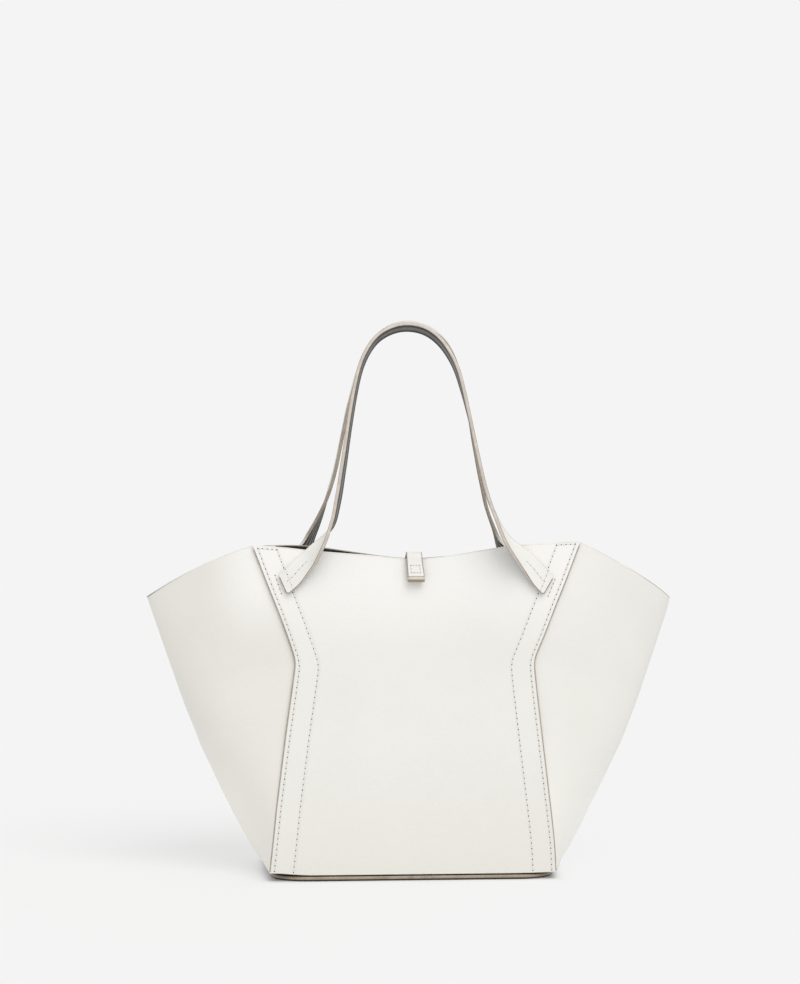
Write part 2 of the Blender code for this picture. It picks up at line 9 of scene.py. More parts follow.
import bpy
import numpy as np
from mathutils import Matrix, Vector

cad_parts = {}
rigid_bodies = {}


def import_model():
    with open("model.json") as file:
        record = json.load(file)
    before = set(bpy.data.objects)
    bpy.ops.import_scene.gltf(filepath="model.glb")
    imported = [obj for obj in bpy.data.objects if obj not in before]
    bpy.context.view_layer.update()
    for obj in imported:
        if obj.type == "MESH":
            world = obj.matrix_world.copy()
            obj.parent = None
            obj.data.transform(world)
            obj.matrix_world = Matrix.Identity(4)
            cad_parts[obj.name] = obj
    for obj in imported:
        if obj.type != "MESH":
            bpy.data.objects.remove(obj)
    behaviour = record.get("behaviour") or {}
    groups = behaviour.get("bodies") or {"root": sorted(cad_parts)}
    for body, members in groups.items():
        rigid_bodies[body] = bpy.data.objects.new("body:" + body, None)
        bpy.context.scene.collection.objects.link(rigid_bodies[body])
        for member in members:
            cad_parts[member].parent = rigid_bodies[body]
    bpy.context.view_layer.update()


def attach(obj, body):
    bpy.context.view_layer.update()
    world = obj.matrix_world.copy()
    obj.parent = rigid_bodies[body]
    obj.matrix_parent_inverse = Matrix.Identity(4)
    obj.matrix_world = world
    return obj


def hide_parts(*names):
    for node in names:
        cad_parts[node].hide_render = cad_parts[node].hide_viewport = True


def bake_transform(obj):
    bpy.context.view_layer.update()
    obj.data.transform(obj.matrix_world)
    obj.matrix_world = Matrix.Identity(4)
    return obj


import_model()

# Walls, in metres.
OUTER_PLY = 0.0014
LINING_PLY = 0.0011
GAP = 0.0003
WALL = OUTER_PLY + GAP + LINING_PLY
PANEL_BOTTOM = 0.0055
PANEL_TOP = 0.310
SCOOP_HALF = 0.140
HALF_AT_BOTTOM = 0.1321
HALF_AT_WAIST = 0.1100
HALF_AT_TOP = 0.1510
WAIST_HEIGHT = 0.2017
WAIST_SOFTNESS = 0.0030
DEPTH_AT_BOTTOM = 0.0755
DEPTH_AT_TOP = 0.0660
MOUTH_INDENT = 0.0130
FLANGE = 0.0260
GUSSET_START_ANGLE = math.radians(12.0)
EDGE_PROUD = 0.0009
EDGE_LAP = 0.00035

# Top edges of the two panels: (across, height).
FRONT_TOP = (
    (-0.151, 0.3092),
    (-0.118, 0.3069),
    (-0.100, 0.3043),
    (-0.074, 0.3022),
    (-0.040, 0.2996),
    (-0.012, 0.2966),
    (0.000, 0.2955),
    (0.016, 0.2966),
    (0.034, 0.2992),
    (0.062, 0.3040),
    (0.090, 0.3088),
    (0.118, 0.3105),
    (0.151, 0.3125),
)
BACK_TOP = (
    (-0.151, 0.3056),
    (-0.130, 0.3064),
    (-0.105, 0.3068),
    (-0.085, 0.3054),
    (-0.074, 0.3036),
    (-0.055, 0.3009),
    (-0.040, 0.2987),
    (-0.012, 0.2949),
    (0.000, 0.2939),
    (0.016, 0.2938),
    (0.034, 0.2953),
    (0.062, 0.2986),
    (0.090, 0.3026),
    (0.118, 0.3054),
    (0.151, 0.3086),
)
# Half width of the bag at the gusset's middle fold: (height, half width).
FOLD = (
    (0.0000, 0.1362),
    (0.0055, 0.1406),
    (0.0110, 0.1447),
    (0.0178, 0.1490),
    (0.0270, 0.1544),
    (0.0348, 0.1586),
    (0.0417, 0.1622),
    (0.0512, 0.1671),
    (0.0607, 0.1718),
    (0.0702, 0.1767),
    (0.0797, 0.1815),
    (0.0892, 0.1860),
    (0.0987, 0.1904),
    (0.1082, 0.1950),
    (0.1177, 0.1995),
    (0.1272, 0.2030),
    (0.1367, 0.2067),
    (0.1557, 0.2143),
    (0.1747, 0.2211),
    (0.1937, 0.2276),
    (0.2127, 0.2342),
    (0.2317, 0.2406),
    (0.2450, 0.2452),
    (0.2580, 0.2489),
)
# How much further out the right fold stands than the left, halved: (height, metres).
FOLD_SHIFT = (
    (0.0000, 0.0045),
    (0.0110, 0.0037),
    (0.0270, 0.0037),
    (0.0417, 0.0035),
    (0.0607, 0.0029),
    (0.0797, 0.0033),
    (0.0987, 0.0034),
    (0.1177, 0.0032),
    (0.1367, 0.0031),
    (0.1557, 0.0031),
    (0.1747, 0.0030),
    (0.1937, 0.0029),
    (0.2127, 0.0029),
    (0.2317, 0.0027),
    (0.2450, 0.0028),
    (0.2580, 0.0021),
)
FOLD_TOP = {-1: 0.2600, 1: 0.2575}

# How far the seam edge on each flank stands out from the evenly tapered outline: (height, metres).
SEAM_LEFT = (
    (0.0055, 0.0022),
    (0.0450, 0.0024),
    (0.0650, 0.0027),
    (0.0970, 0.0023),
    (0.1350, 0.0018),
    (0.1610, 0.0011),
    (0.1870, 0.0003),
    (0.2000, -0.0004),
    (0.2150, -0.0011),
    (0.2450, -0.0016),
    (0.2700, -0.0011),
    (0.3130, -0.0009),
)
SEAM_RIGHT = (
    (0.0055, -0.0006),
    (0.0170, 0.0003),
    (0.0300, 0.0011),
    (0.0560, 0.0014),
    (0.1200, 0.0011),
    (0.1600, 0.0010),
    (0.1960, 0.0010),
    (0.2115, 0.0024),
    (0.2245, 0.0034),
    (0.2505, 0.0037),
    (0.2635, 0.0042),
    (0.2765, 0.0046),
    (0.3130, 0.0049),
)
# Lift of the panels' lower corners, left and right.
CORNER_LIFT = (0.0022, 0.0006)

# Straps.
STRAP_HALF = 0.01015
STRAP_PLY = 0.00155
STRAP_PROUD = 0.0008
STRAP_LAP = 0.00018
HANDLE_LEAN = math.radians(11.3)
PANEL_LEAN = math.atan((DEPTH_AT_BOTTOM - DEPTH_AT_TOP) / PANEL_TOP)
END_SHEAR = 0.0018
END_CORNER = 0.0014
STITCH_PITCH = 0.0050
STITCH_LENGTH = 0.0037
OUTER_ROW = 0.0045
INNER_ROW = 0.0220
TOP_ROW = 0.0027

# Centre line of the front handle from its left end to its right end.
FRONT_HANDLE = (
    (-0.1213, -0.0695, 0.2729), (-0.1120, -0.0694, 0.2801), (-0.1058, -0.0693, 0.2875),
    (-0.0974, -0.0698, 0.2947), (-0.0917, -0.0750, 0.3027), (-0.0866, -0.0775, 0.3096),
    (-0.0826, -0.0785, 0.3164), (-0.0755, -0.0775, 0.3301), (-0.0722, -0.0750, 0.3448),
    (-0.0692, -0.0722, 0.3597), (-0.0669, -0.0695, 0.3746), (-0.0644, -0.0665, 0.3895),
    (-0.0599, -0.0605, 0.4189), (-0.0547, -0.0545, 0.4486), (-0.0495, -0.0500, 0.4711),
    (-0.0437, -0.0470, 0.4857), (-0.0341, -0.0442, 0.5000), (-0.0203, -0.0420, 0.5091),
    (-0.0046, -0.0412, 0.5124), (0.0125, -0.0420, 0.5089), (0.0258, -0.0442, 0.4988),
    (0.0353, -0.0470, 0.4851), (0.0415, -0.0500, 0.4714), (0.0475, -0.0545, 0.4491),
    (0.0539, -0.0605, 0.4194), (0.0597, -0.0665, 0.3899), (0.0627, -0.0695, 0.3750),
    (0.0661, -0.0722, 0.3599), (0.0706, -0.0750, 0.3454), (0.0764, -0.0775, 0.3308),
    (0.0831, -0.0785, 0.3161), (0.0873, -0.0777, 0.3101), (0.0933, -0.0752, 0.3029),
    (0.1028, -0.0698, 0.2940), (0.1108, -0.0693, 0.2865), (0.1169, -0.0694, 0.2784),
    (0.1243, -0.0695, 0.2714),
)
# The same for the back handle, with Y as if it were at the front.
BACK_HANDLE = (
    (-0.1213, -0.0695, 0.2729), (-0.1125, -0.0694, 0.2808), (-0.1050, -0.0693, 0.2880),
    (-0.0985, -0.0702, 0.2955), (-0.0930, -0.0755, 0.3040), (-0.0906, -0.0778, 0.3121),
    (-0.0868, -0.0782, 0.3199), (-0.0830, -0.0775, 0.3282), (-0.0767, -0.0750, 0.3440),
    (-0.0714, -0.0722, 0.3598), (-0.0669, -0.0695, 0.3752), (-0.0634, -0.0665, 0.3909),
    (-0.0605, -0.0635, 0.4065), (-0.0575, -0.0605, 0.4219), (-0.0544, -0.0575, 0.4377),
    (-0.0506, -0.0545, 0.4526), (-0.0451, -0.0508, 0.4730), (-0.0383, -0.0480, 0.4894),
    (-0.0295, -0.0450, 0.5039), (-0.0162, -0.0425, 0.5157), (0.0018, -0.0412, 0.5208),
    (0.0214, -0.0425, 0.5168), (0.0371, -0.0450, 0.5064), (0.0472, -0.0480, 0.4909),
    (0.0530, -0.0508, 0.4759), (0.0596, -0.0545, 0.4535), (0.0630, -0.0575, 0.4381),
    (0.0664, -0.0605, 0.4224), (0.0690, -0.0635, 0.4069), (0.0722, -0.0665, 0.3913),
    (0.0753, -0.0695, 0.3754), (0.0789, -0.0722, 0.3599), (0.0825, -0.0750, 0.3441),
    (0.0881, -0.0775, 0.3284), (0.0916, -0.0782, 0.3199), (0.0942, -0.0778, 0.3107),
    (0.0972, -0.0755, 0.3025), (0.1020, -0.0708, 0.2945), (0.1092, -0.0694, 0.2868),
    (0.1165, -0.0694, 0.2795), (0.1243, -0.0695, 0.2714),
)
# Turn of the strap's section, in degrees: (height, at the outer border, at the inner border).
TURN_FRONT_LEFT = (
    (0.2743, 0, 4), (0.2800, 2, 14), (0.2870, 6, 32), (0.2950, 22, 52), (0.3080, 60, 74),
    (0.3180, 82, 88), (0.3250, 95, 97), (0.3320, 99, 100), (0.3500, 101, 101), (0.3800, 100.5, 100.5),
    (0.4000, 99.5, 99.5), (0.4400, 99, 99),
)
TURN_FRONT_RIGHT = (
    (0.2731, 0, 2), (0.2792, 1, 14), (0.2875, 6, 30), (0.2954, 18, 46), (0.3030, 42, 60),
    (0.3110, 62, 70), (0.3300, 78, 80), (0.3500, 82, 82), (0.4170, 82, 82), (0.4394, 84.5, 84.5),
    (0.4618, 88, 88),
)
TURN_BACK_LEFT = (
    (0.2740, 0, 3), (0.2800, 2, 12), (0.2875, 8, 28), (0.2954, 26, 46), (0.3062, 57, 62),
    (0.3140, 64, 66), (0.3258, 71, 72), (0.3375, 77.5, 78), (0.3490, 84, 84.5), (0.3600, 87, 87),
    (0.4400, 86.5, 86.5),
)
TURN_BACK_RIGHT = (
    (0.2740, 0, 3), (0.2800, 3, 18), (0.2875, 14, 42), (0.2970, 48, 68), (0.3062, 77, 84),
    (0.3130, 87, 90), (0.3209, 92, 92), (0.3336, 93, 93), (0.4400, 93, 93),
)

# Closure strap.
TAB_HALF = 0.0074
TAB_PLY = 0.0019
MID_TOP = 0.295
STRAP_LEVEL = MID_TOP + 0.0056
CROSS_LEVEL = 0.2880
CROSS_SAG = 0.0020
CROSS_FLAT = 0.74
TAB_FOLD = 0.0036
TAB_DROP = 0.0190
TAB_STAND_OFF = 0.0040
TAB_KICK = 0.0030
ANCHOR_BEND = 0.0060
ANCHOR_DROP = 0.0400


# Shapes shared by all the pieces.
def smooth(t):
    t = np.clip(t, 0.0, 1.0)
    return t * t * (3 - 2 * t)


def eased(pairs, reach):
    """A smooth curve through a table: straight between its points, then softened over reach."""
    xs, ys = (np.array(v, float) for v in zip(*pairs))
    first, last = (ys[1] - ys[0]) / (xs[1] - xs[0]), (ys[-1] - ys[-2]) / (xs[-1] - xs[-2])
    pad = 6 * reach
    xs = np.concatenate([[xs[0] - pad], xs, [xs[-1] + pad]])
    ys = np.concatenate([[ys[0] - pad * first], ys, [ys[-1] + pad * last]])
    fine = np.linspace(xs[0], xs[-1], 1601)
    raw = np.interp(fine, xs, ys)
    step = fine[1] - fine[0]
    n = int(3 * reach / step)
    kernel = np.exp(-0.5 * (np.arange(-n, n + 1) * step / reach) ** 2)
    kernel /= kernel.sum()
    padded = np.concatenate([2 * raw[0] - raw[n:0:-1], raw, 2 * raw[-1] - raw[-2 : -n - 2 : -1]])
    soft = np.convolve(padded, kernel, "valid")
    return lambda x: np.interp(x, fine, soft)


top_front, top_back = eased(FRONT_TOP, 0.007), eased(BACK_TOP, 0.008)
fold_width, fold_shift = eased(FOLD, 0.0035), eased(FOLD_SHIFT, 0.008)
seam_left, seam_right = eased(SEAM_LEFT, 0.005), eased(SEAM_RIGHT, 0.004)


def top_edge(side, x):
    return top_front(x) if side < 0 else top_back(x)


def panel_half(z):
    low = HALF_AT_BOTTOM + (HALF_AT_WAIST - HALF_AT_BOTTOM) * (z - PANEL_BOTTOM) / (
        WAIST_HEIGHT - PANEL_BOTTOM
    )
    high = HALF_AT_WAIST + (HALF_AT_TOP - HALF_AT_WAIST) * (z - WAIST_HEIGHT) / (
        PANEL_TOP - WAIST_HEIGHT
    )
    return 0.5 * (low + high + np.hypot(low - high, WAIST_SOFTNESS))


def seam_half(hand, z):
    """Half width of the panel up to its seam edge, which differs a little from left to right."""
    return panel_half(z) + np.where(np.asarray(hand) > 0, seam_right(z), seam_left(z))


def foot_lift(s):
    """How much the lower edge rises towards the corners, at s across (-1 to 1)."""
    return np.where(np.asarray(s) < 0, *CORNER_LIFT) * smooth((np.abs(s) - 0.70) / 0.30)


def mouth(x):
    inside = np.clip(np.cos(0.5 * np.pi * np.clip(x / SCOOP_HALF, -1, 1)), 0, 1)
    return inside**2.4


def panel_depth(x, z):
    rise = z / PANEL_TOP
    return (
        DEPTH_AT_BOTTOM
        - (DEPTH_AT_BOTTOM - DEPTH_AT_TOP) * rise
        - MOUTH_INDENT * rise**2.5 * mouth(x)
    )


def relief(side, x, z):
    """Soft unevenness of a leather panel, a few tenths of a millimetre, gone towards the handles."""
    fade = smooth((0.262 - z) / 0.06) * smooth(z / 0.05)
    broad = np.sin(21 * x + 7 * z + 1.7 * side) * np.sin(17 * z - 9 * x + 0.6)
    fine = 0.5 * np.sin(44 * x - 23 * z + side) * np.sin(31 * z + 12 * x)
    return 0.00042 * fade * (broad + fine)


def panel_points(side, s, t, inset, depth_in):
    """Points of a panel at s across (-1 to 1) and t up (0 to 1), its outline drawn in by inset."""
    zbar = PANEL_BOTTOM + t * (PANEL_TOP - PANEL_BOTTOM)
    half = seam_half(s, zbar) - inset
    x = s * half
    low = PANEL_BOTTOM + inset + foot_lift(s)
    z = low + t * (top_edge(side, s * HALF_AT_TOP) - inset - low)
    y = side * (panel_depth(x, z) + relief(side, x, z) - depth_in)
    return np.stack([x, y, z], -1)


FLANGE_SHARE = 0.16


def gusset_points(hand, v, t, inset):
    """Points of a gusset's outer face: v runs from -1 at its front flange to 0 at the middle fold and 1 at its back
    flange, t from 0 at the foot to 1 at the top."""
    low = PANEL_BOTTOM + inset + float(foot_lift(hand))
    corner_front, corner_back = (float(top_edge(k, hand * HALF_AT_TOP)) for k in (-1, 1))
    at_back = smooth(0.5 + 3.0 * v)
    corner = corner_front + (corner_back - corner_front) * at_back
    z_seam = low + t * (corner - 0.0004 - inset - low)
    z_fold = low + t * (FOLD_TOP[hand] - inset - low)
    half = seam_half(hand, PANEL_BOTTOM + t * (PANEL_TOP - PANEL_BOTTOM))
    under = WALL + GAP
    w = 1 - np.abs(v)
    # flange
    reach_in = (FLANGE - inset) * np.clip(1 - w / FLANGE_SHARE, 0, 1)
    flange_x = half - reach_in
    crown = np.where(v < 0, top_front(hand * flange_x), top_back(hand * flange_x)) - 0.0006
    flange_z = low + t * (crown - inset - low)
    flange_y = -(panel_depth(flange_x, flange_z) - under)
    # wing
    u = np.clip((w - FLANGE_SHARE) / (1 - FLANGE_SHARE), 0, 1)
    reach = fold_width(z_fold) + hand * fold_shift(z_fold) - half
    depth = panel_depth(half, z_seam) - under
    tail = 0.060 - 0.036 * z_fold / 0.258
    # Near the foot each flank runs straight to the fold; higher up it leaves the seam sideways and rounds the fold.
    bend = smooth((t - 0.04) / 0.50)
    one_x = 1 / 3 + ((0.62 - 0.16 * t) * math.cos(GUSSET_START_ANGLE) - 1 / 3) * bend
    two_x = 2 / 3 + bend / 3
    one_y = -2 * depth / 3 * (1 - bend) + ((0.62 - 0.16 * t) * reach * math.sin(GUSSET_START_ANGLE) - depth) * bend
    two_y = -depth / 3 * (1 - bend) - tail * bend
    b0, b1, b2, b3 = (1 - u) ** 3, 3 * (1 - u) ** 2 * u, 3 * (1 - u) * u * u, u**3
    along = np.clip(b1 * one_x + b2 * two_x + b3, 0, 1)
    wing_x = half + reach * along
    wing_y = b0 * -depth + b1 * one_y + b2 * two_y
    drop = 0.62 * along + 0.38 * along**2.1 if hand < 0 else 0.86 * along + 0.14 * along**3
    wing_z = z_seam + (z_fold - z_seam) * drop
    wing_z = wing_z - 0.0013 * np.sin(math.pi * drop) * (v > 0) * t**8
    soft = 0.0004 * smooth(u / 0.3) * smooth((1 - u) / 0.3) * smooth(t / 0.3)
    wing_y = wing_y + soft * np.sin(19 * wing_z + 5 * along + 2.0 * hand)
    on_flange = w < FLANGE_SHARE
    x = np.where(on_flange, flange_x, wing_x)
    y = np.where(on_flange, flange_y, wing_y)
    z = np.where(on_flange, flange_z, wing_z)
    y = np.where(v > 0, -y, y)
    return np.stack([x, y, z], -1)


def unit(v):
    return v / np.maximum(np.linalg.norm(v, axis=-1, keepdims=True), 1e-12)


# Meshes.
def add_mesh(name, points, faces, material, smooth_angle=40.0):
    mesh = bpy.data.meshes.new(name)
    mesh.from_pydata([tuple(map(float, p)) for p in points], [], faces)
    mesh.update()
    mesh.materials.append(material)
    mesh.polygons.foreach_set("use_smooth", [True] * len(mesh.polygons))
    if smooth_angle:
        mesh.set_sharp_from_angle(angle=math.radians(smooth_angle))
    obj = bpy.data.objects.new(name, mesh)
    bpy.context.scene.collection.objects.link(obj)
    return obj


def store(obj, name, values):
    attribute = obj.data.attributes.new(name, "FLOAT", "POINT")
    attribute.data.foreach_set("value", np.asarray(values, np.float32).ravel())


def grid_faces(rows, columns, start, flip):
    faces = []
    for r in range(rows - 1):
        base = start + r * columns
        for c in range(columns - 1):
            a, b, d, e = base + c, base + c + 1, base + columns + c + 1, base + columns + c
            faces.append((a, e, d, b) if flip else (a, b, d, e))
    return faces


def shell(name, near, far, material, flip=False):
    """A closed ply between two equal grids. near is the face that looks out."""
    rows, columns = near.shape[:2]
    points = np.concatenate([near.reshape(-1, 3), far.reshape(-1, 3)])
    step = rows * columns
    faces = grid_faces(rows, columns, 0, flip) + grid_faces(rows, columns, step, not flip)
    ring = [c for c in range(columns)]
    ring += [r * columns + columns - 1 for r in range(1, rows)]
    ring += [(rows - 1) * columns + c for c in range(columns - 2, -1, -1)]
    ring += [r * columns for r in range(rows - 2, 0, -1)]
    for k, a in enumerate(ring):
        b = ring[(k + 1) % len(ring)]
        faces.append((a, b, b + step, a + step) if flip else (b, a, a + step, b + step))
    return add_mesh(name, points, faces, material)


def fanned(points, normals, turn_at=28.0):
    """A closed loop with its outward directions, each sharp corner opened into a short fan."""
    count = len(points)
    ahead = unit(np.roll(points, -1, 0) - points)
    behind = np.roll(ahead, 1, 0)
    side_ahead, side_behind = unit(np.cross(ahead, normals)), unit(np.cross(behind, normals))
    middle = points.mean(0)
    sign = 1.0 if ((points - middle) * (side_ahead + side_behind)).sum() > 0 else -1.0
    limit = math.cos(math.radians(turn_at))
    out_p, out_n, out_b, picked = [], [], [], []
    for k in range(count):
        a, b = side_behind[k] * sign, side_ahead[k] * sign
        steps = (0.5,) if float(a @ b) > limit else (0.0, 0.2, 0.4, 0.6, 0.8, 1.0)
        for q in steps:
            out_p.append(points[k])
            out_n.append(normals[k])
            out_b.append(unit(a * (1 - q) + b * q))
            picked.append(k)
    return np.array(out_p), np.array(out_n), np.array(out_b), np.array(picked)


def bead_section(half, proud, lap):
    """Outline of a painted edge as (outwards, across the thickness) points."""
    angles = np.linspace(-0.5 * math.pi, 0.5 * math.pi, 11)
    section = [(-lap, -half * 0.86), (-0.55 * lap, -half * 0.97)]
    section += [
        (proud * math.cos(a) ** 0.8, half * math.copysign(abs(math.sin(a)) ** 0.85, math.sin(a))) for a in angles
    ]
    return section + [(-0.55 * lap, half * 0.97), (-lap, half * 0.86)]


def edge_bead(name, points, normals, half, proud, lap, material, pale=None):
    """The painted edge of a wall or strap: a rounded bead round a closed loop, lapping a little on both faces."""
    p, n, b, picked = fanned(points, normals)
    section = bead_section(half, proud, lap)
    m, count = len(section), len(p)
    rings = np.stack([p + b * s[0] + n * s[1] for s in section], 1)
    faces = []
    for k in range(count):
        on = (k + 1) % count
        for c in range(m):
            d = (c + 1) % m
            faces.append((k * m + c, k * m + d, on * m + d, on * m + c))
    obj = add_mesh(name, rings.reshape(-1, 3), faces, material, 60.0)
    repair_normals(obj)
    store(obj, "rim", np.tile([abs(q[1]) / half for q in section], count))
    wear_and_painted_light = np.zeros(count) if pale is None else np.asarray(pale, float)[picked]
    store(obj, "pale", np.repeat(wear_and_painted_light, m))
    return obj


def repair_normals(obj):
    """Points every face of a closed mesh outwards."""
    import bmesh

    bm = bmesh.new()
    bm.from_mesh(obj.data)
    bmesh.ops.recalc_face_normals(bm, faces=bm.faces)
    bm.to_mesh(obj.data)
    bm.free()


def along_path(points, positions):
    """Points and headings at distances along a polyline."""
    points = np.asarray(points, float)
    run = np.concatenate([[0], np.cumsum(np.linalg.norm(np.diff(points, axis=0), axis=1))])
    found = np.stack([np.interp(positions, run, points[:, k]) for k in range(3)], -1)
    ahead = np.stack([np.interp(positions + 4e-4, run, points[:, k]) for k in range(3)], -1)
    behind = np.stack([np.interp(positions - 4e-4, run, points[:, k]) for k in range(3)], -1)
    return found, unit(ahead - behind), run[-1]


class Stitches:
    """Rows of thread and needle holes, gathered into one thread mesh and one mesh of holes."""

    def __init__(self):
        self.thread, self.thread_faces = [], []
        self.holes, self.hole_faces = [], []
        self.seed = 0

    def one(self, centre, along, normal, length, radius=0.00036):
        across = unit(np.cross(along, normal))
        self.seed += 1
        wander = 0.00006 * math.sin(self.seed * 2.399)
        start = len(self.thread)
        rings, sides = 9, 8
        for r in range(rings):
            u = -1 + 2 * r / (rings - 1)
            thick = radius * (1 - abs(u) ** 3.2) ** 0.5 + 0.00002
            lift = 0.00022 * (1 - u * u) - 0.00020 * u * u
            middle = centre + along * (0.5 * length * u) + normal * lift + across * wander * u
            for c in range(sides):
                a = 2 * math.pi * c / sides
                self.thread.append(
                    middle + across * (thick * math.cos(a)) + normal * (0.8 * thick * math.sin(a))
                )
        for r in range(rings - 1):
            for c in range(sides):
                d = (c + 1) % sides
                here, on = start + r * sides, start + (r + 1) * sides
                self.thread_faces.append((here + c, here + d, on + d, on + c))
        self.thread_faces.append(tuple(start + c for c in range(sides))[::-1])
        self.thread_faces.append(tuple(start + (rings - 1) * sides + c for c in range(sides)))

    def hole(self, centre, along, normal, radius=0.00052):
        across = unit(np.cross(along, normal))
        start = len(self.holes)
        for lift, size in ((-0.0004, 1.0), (0.00005, 1.0), (0.00007, 0.7)):
            for c in range(10):
                a = 2 * math.pi * c / 10
                self.holes.append(
                    centre
                    + along * (1.25 * radius * size * math.cos(a))
                    + across * (radius * size * math.sin(a))
                    + normal * lift
                )
        for ring in range(2):
            for c in range(10):
                d = (c + 1) % 10
                here, on = start + ring * 10, start + (ring + 1) * 10
                self.hole_faces.append((here + c, here + d, on + d, on + c))
        self.hole_faces.append(tuple(start + 20 + c for c in range(10)))
        self.hole_faces.append(tuple(start + c for c in range(10))[::-1])

    def row(self, path, normals, pitch=STITCH_PITCH, length=STITCH_LENGTH, ends=True):
        """Stitches along a polyline that lies on a surface with the given outward normals."""
        path, normals = np.asarray(path, float), np.asarray(normals, float)
        _, _, total = along_path(path, np.array([0.0]))
        count = max(int(round(total / pitch)), 1)
        pitch = total / count
        marks = (np.arange(count) + 0.5) * pitch
        centre, heading, _ = along_path(path, marks)
        run = np.concatenate([[0], np.cumsum(np.linalg.norm(np.diff(path, axis=0), axis=1))])
        faces = unit(np.stack([np.interp(marks, run, normals[:, k]) for k in range(3)], -1))
        for c, h, n in zip(centre, heading, faces):
            h = unit(h - n * float(h @ n))
            self.one(c, h, n, min(length, 0.8 * pitch))
        marks = np.arange(0 if ends else 1, count + (1 if ends else 0)) * pitch
        centre, heading, _ = along_path(path, marks)
        faces = unit(np.stack([np.interp(marks, run, normals[:, k]) for k in range(3)], -1))
        for c, h, n in zip(centre, heading, faces):
            self.hole(c, unit(h - n * float(h @ n)), n)

    def build(self, name, thread, dark):
        made = add_mesh(name + "_thread", self.thread, self.thread_faces, thread, 0)
        holes = add_mesh(name + "_needle_holes", self.holes, self.hole_faces, dark, 30.0)
        repair_normals(made)
        repair_normals(holes)
        return made, holes


# Materials.
def new_material(name):
    found = bpy.data.materials.new(name)
    found.use_nodes = True
    tree = found.node_tree
    shader = tree.nodes["Principled BSDF"]
    return found, tree, shader


def node(tree, kind, **inputs):
    made = tree.nodes.new(kind)
    for key, value in inputs.items():
        if hasattr(made, key) and key not in made.inputs:
            setattr(made, key, value)
        else:
            made.inputs[key].default_value = value
    return made


def object_space(tree):
    return tree.nodes.new("ShaderNodeTexCoord").outputs["Object"]


def noise(tree, where, scale, detail=3.0, rough=0.5, distortion=0.0):
    made = tree.nodes.new("ShaderNodeTexNoise")
    tree.links.new(where, made.inputs["Vector"])
    made.inputs["Scale"].default_value = scale
    made.inputs["Detail"].default_value = detail
    made.inputs["Roughness"].default_value = rough
    made.inputs["Distortion"].default_value = distortion
    return made.outputs["Fac"]


def ranged(tree, value, low, high, to_low, to_high, soft=False):
    made = tree.nodes.new("ShaderNodeMapRange")
    if soft:
        made.interpolation_type = "SMOOTHSTEP"
    tree.links.new(value, made.inputs["Value"])
    for key, number in (
        ("From Min", low),
        ("From Max", high),
        ("To Min", to_low),
        ("To Max", to_high),
    ):
        made.inputs[key].default_value = number
    return made.outputs["Result"]


def mix(tree, factor, a, b):
    """Mixes two colours, each a socket or a tuple, by a factor socket or number."""
    made = tree.nodes.new("ShaderNodeMix")
    made.data_type = "RGBA"
    for key, value in (("Factor", factor), ("A", a), ("B", b)):
        sockets = [s for s in made.inputs if s.name == key and s.enabled]
        socket = sockets[0]
        if isinstance(value, (tuple, list)):
            socket.default_value = (*value, 1.0)
        elif isinstance(value, float):
            socket.default_value = value
        else:
            tree.links.new(value, socket)
    return [s for s in made.outputs if s.name == "Result" and s.enabled][0]


def maths(tree, operation, a, b=None):
    made = tree.nodes.new("ShaderNodeMath")
    made.operation = operation
    for k, value in enumerate((a, b)):
        if value is None:
            continue
        if isinstance(value, (int, float)):
            made.inputs[k].default_value = value
        else:
            tree.links.new(value, made.inputs[k])
    return made.outputs[0]


def bump(tree, height, distance, strength=1.0, below=None):
    made = tree.nodes.new("ShaderNodeBump")
    made.inputs["Distance"].default_value = distance
    made.inputs["Strength"].default_value = strength
    tree.links.new(height, made.inputs["Height"])
    if below is not None:
        tree.links.new(below, made.inputs["Normal"])
    return made.outputs["Normal"]


def grain(tree, where, fine):
    """Height of leather grain: small rounded cells broken up by noise."""
    cells = tree.nodes.new("ShaderNodeTexVoronoi")
    cells.feature = "SMOOTH_F1"
    cells.inputs["Scale"].default_value = fine
    cells.inputs["Smoothness"].default_value = 0.35
    warp = tree.nodes.new("ShaderNodeTexNoise")
    warp.inputs["Scale"].default_value = fine * 0.35
    warp.inputs["Detail"].default_value = 2.0
    tree.links.new(where, warp.inputs["Vector"])
    shifted = tree.nodes.new("ShaderNodeVectorMath")
    shifted.operation = "MULTIPLY_ADD"
    tree.links.new(warp.outputs["Color"], shifted.inputs[0])
    shifted.inputs[1].default_value = (0.0016, 0.0016, 0.0016)
    tree.links.new(where, shifted.inputs[2])
    tree.links.new(shifted.outputs[0], cells.inputs["Vector"])
    return maths(
        tree, "ADD", cells.outputs["Distance"], maths(tree, "MULTIPLY", noise(tree, where, fine * 2.1), 0.5)
    )


def attribute(tree, name):
    made = tree.nodes.new("ShaderNodeAttribute")
    made.attribute_name = name
    return made.outputs["Fac"]


def groove(tree, distance, at, width):
    """1 at a distance from the edge, falling to 0 beside it."""
    away = maths(tree, "DIVIDE", maths(tree, "SUBTRACT", distance, at), width)
    return maths(tree, "POWER", 2.718, maths(tree, "MULTIPLY", maths(tree, "MULTIPLY", away, away), -1.0))


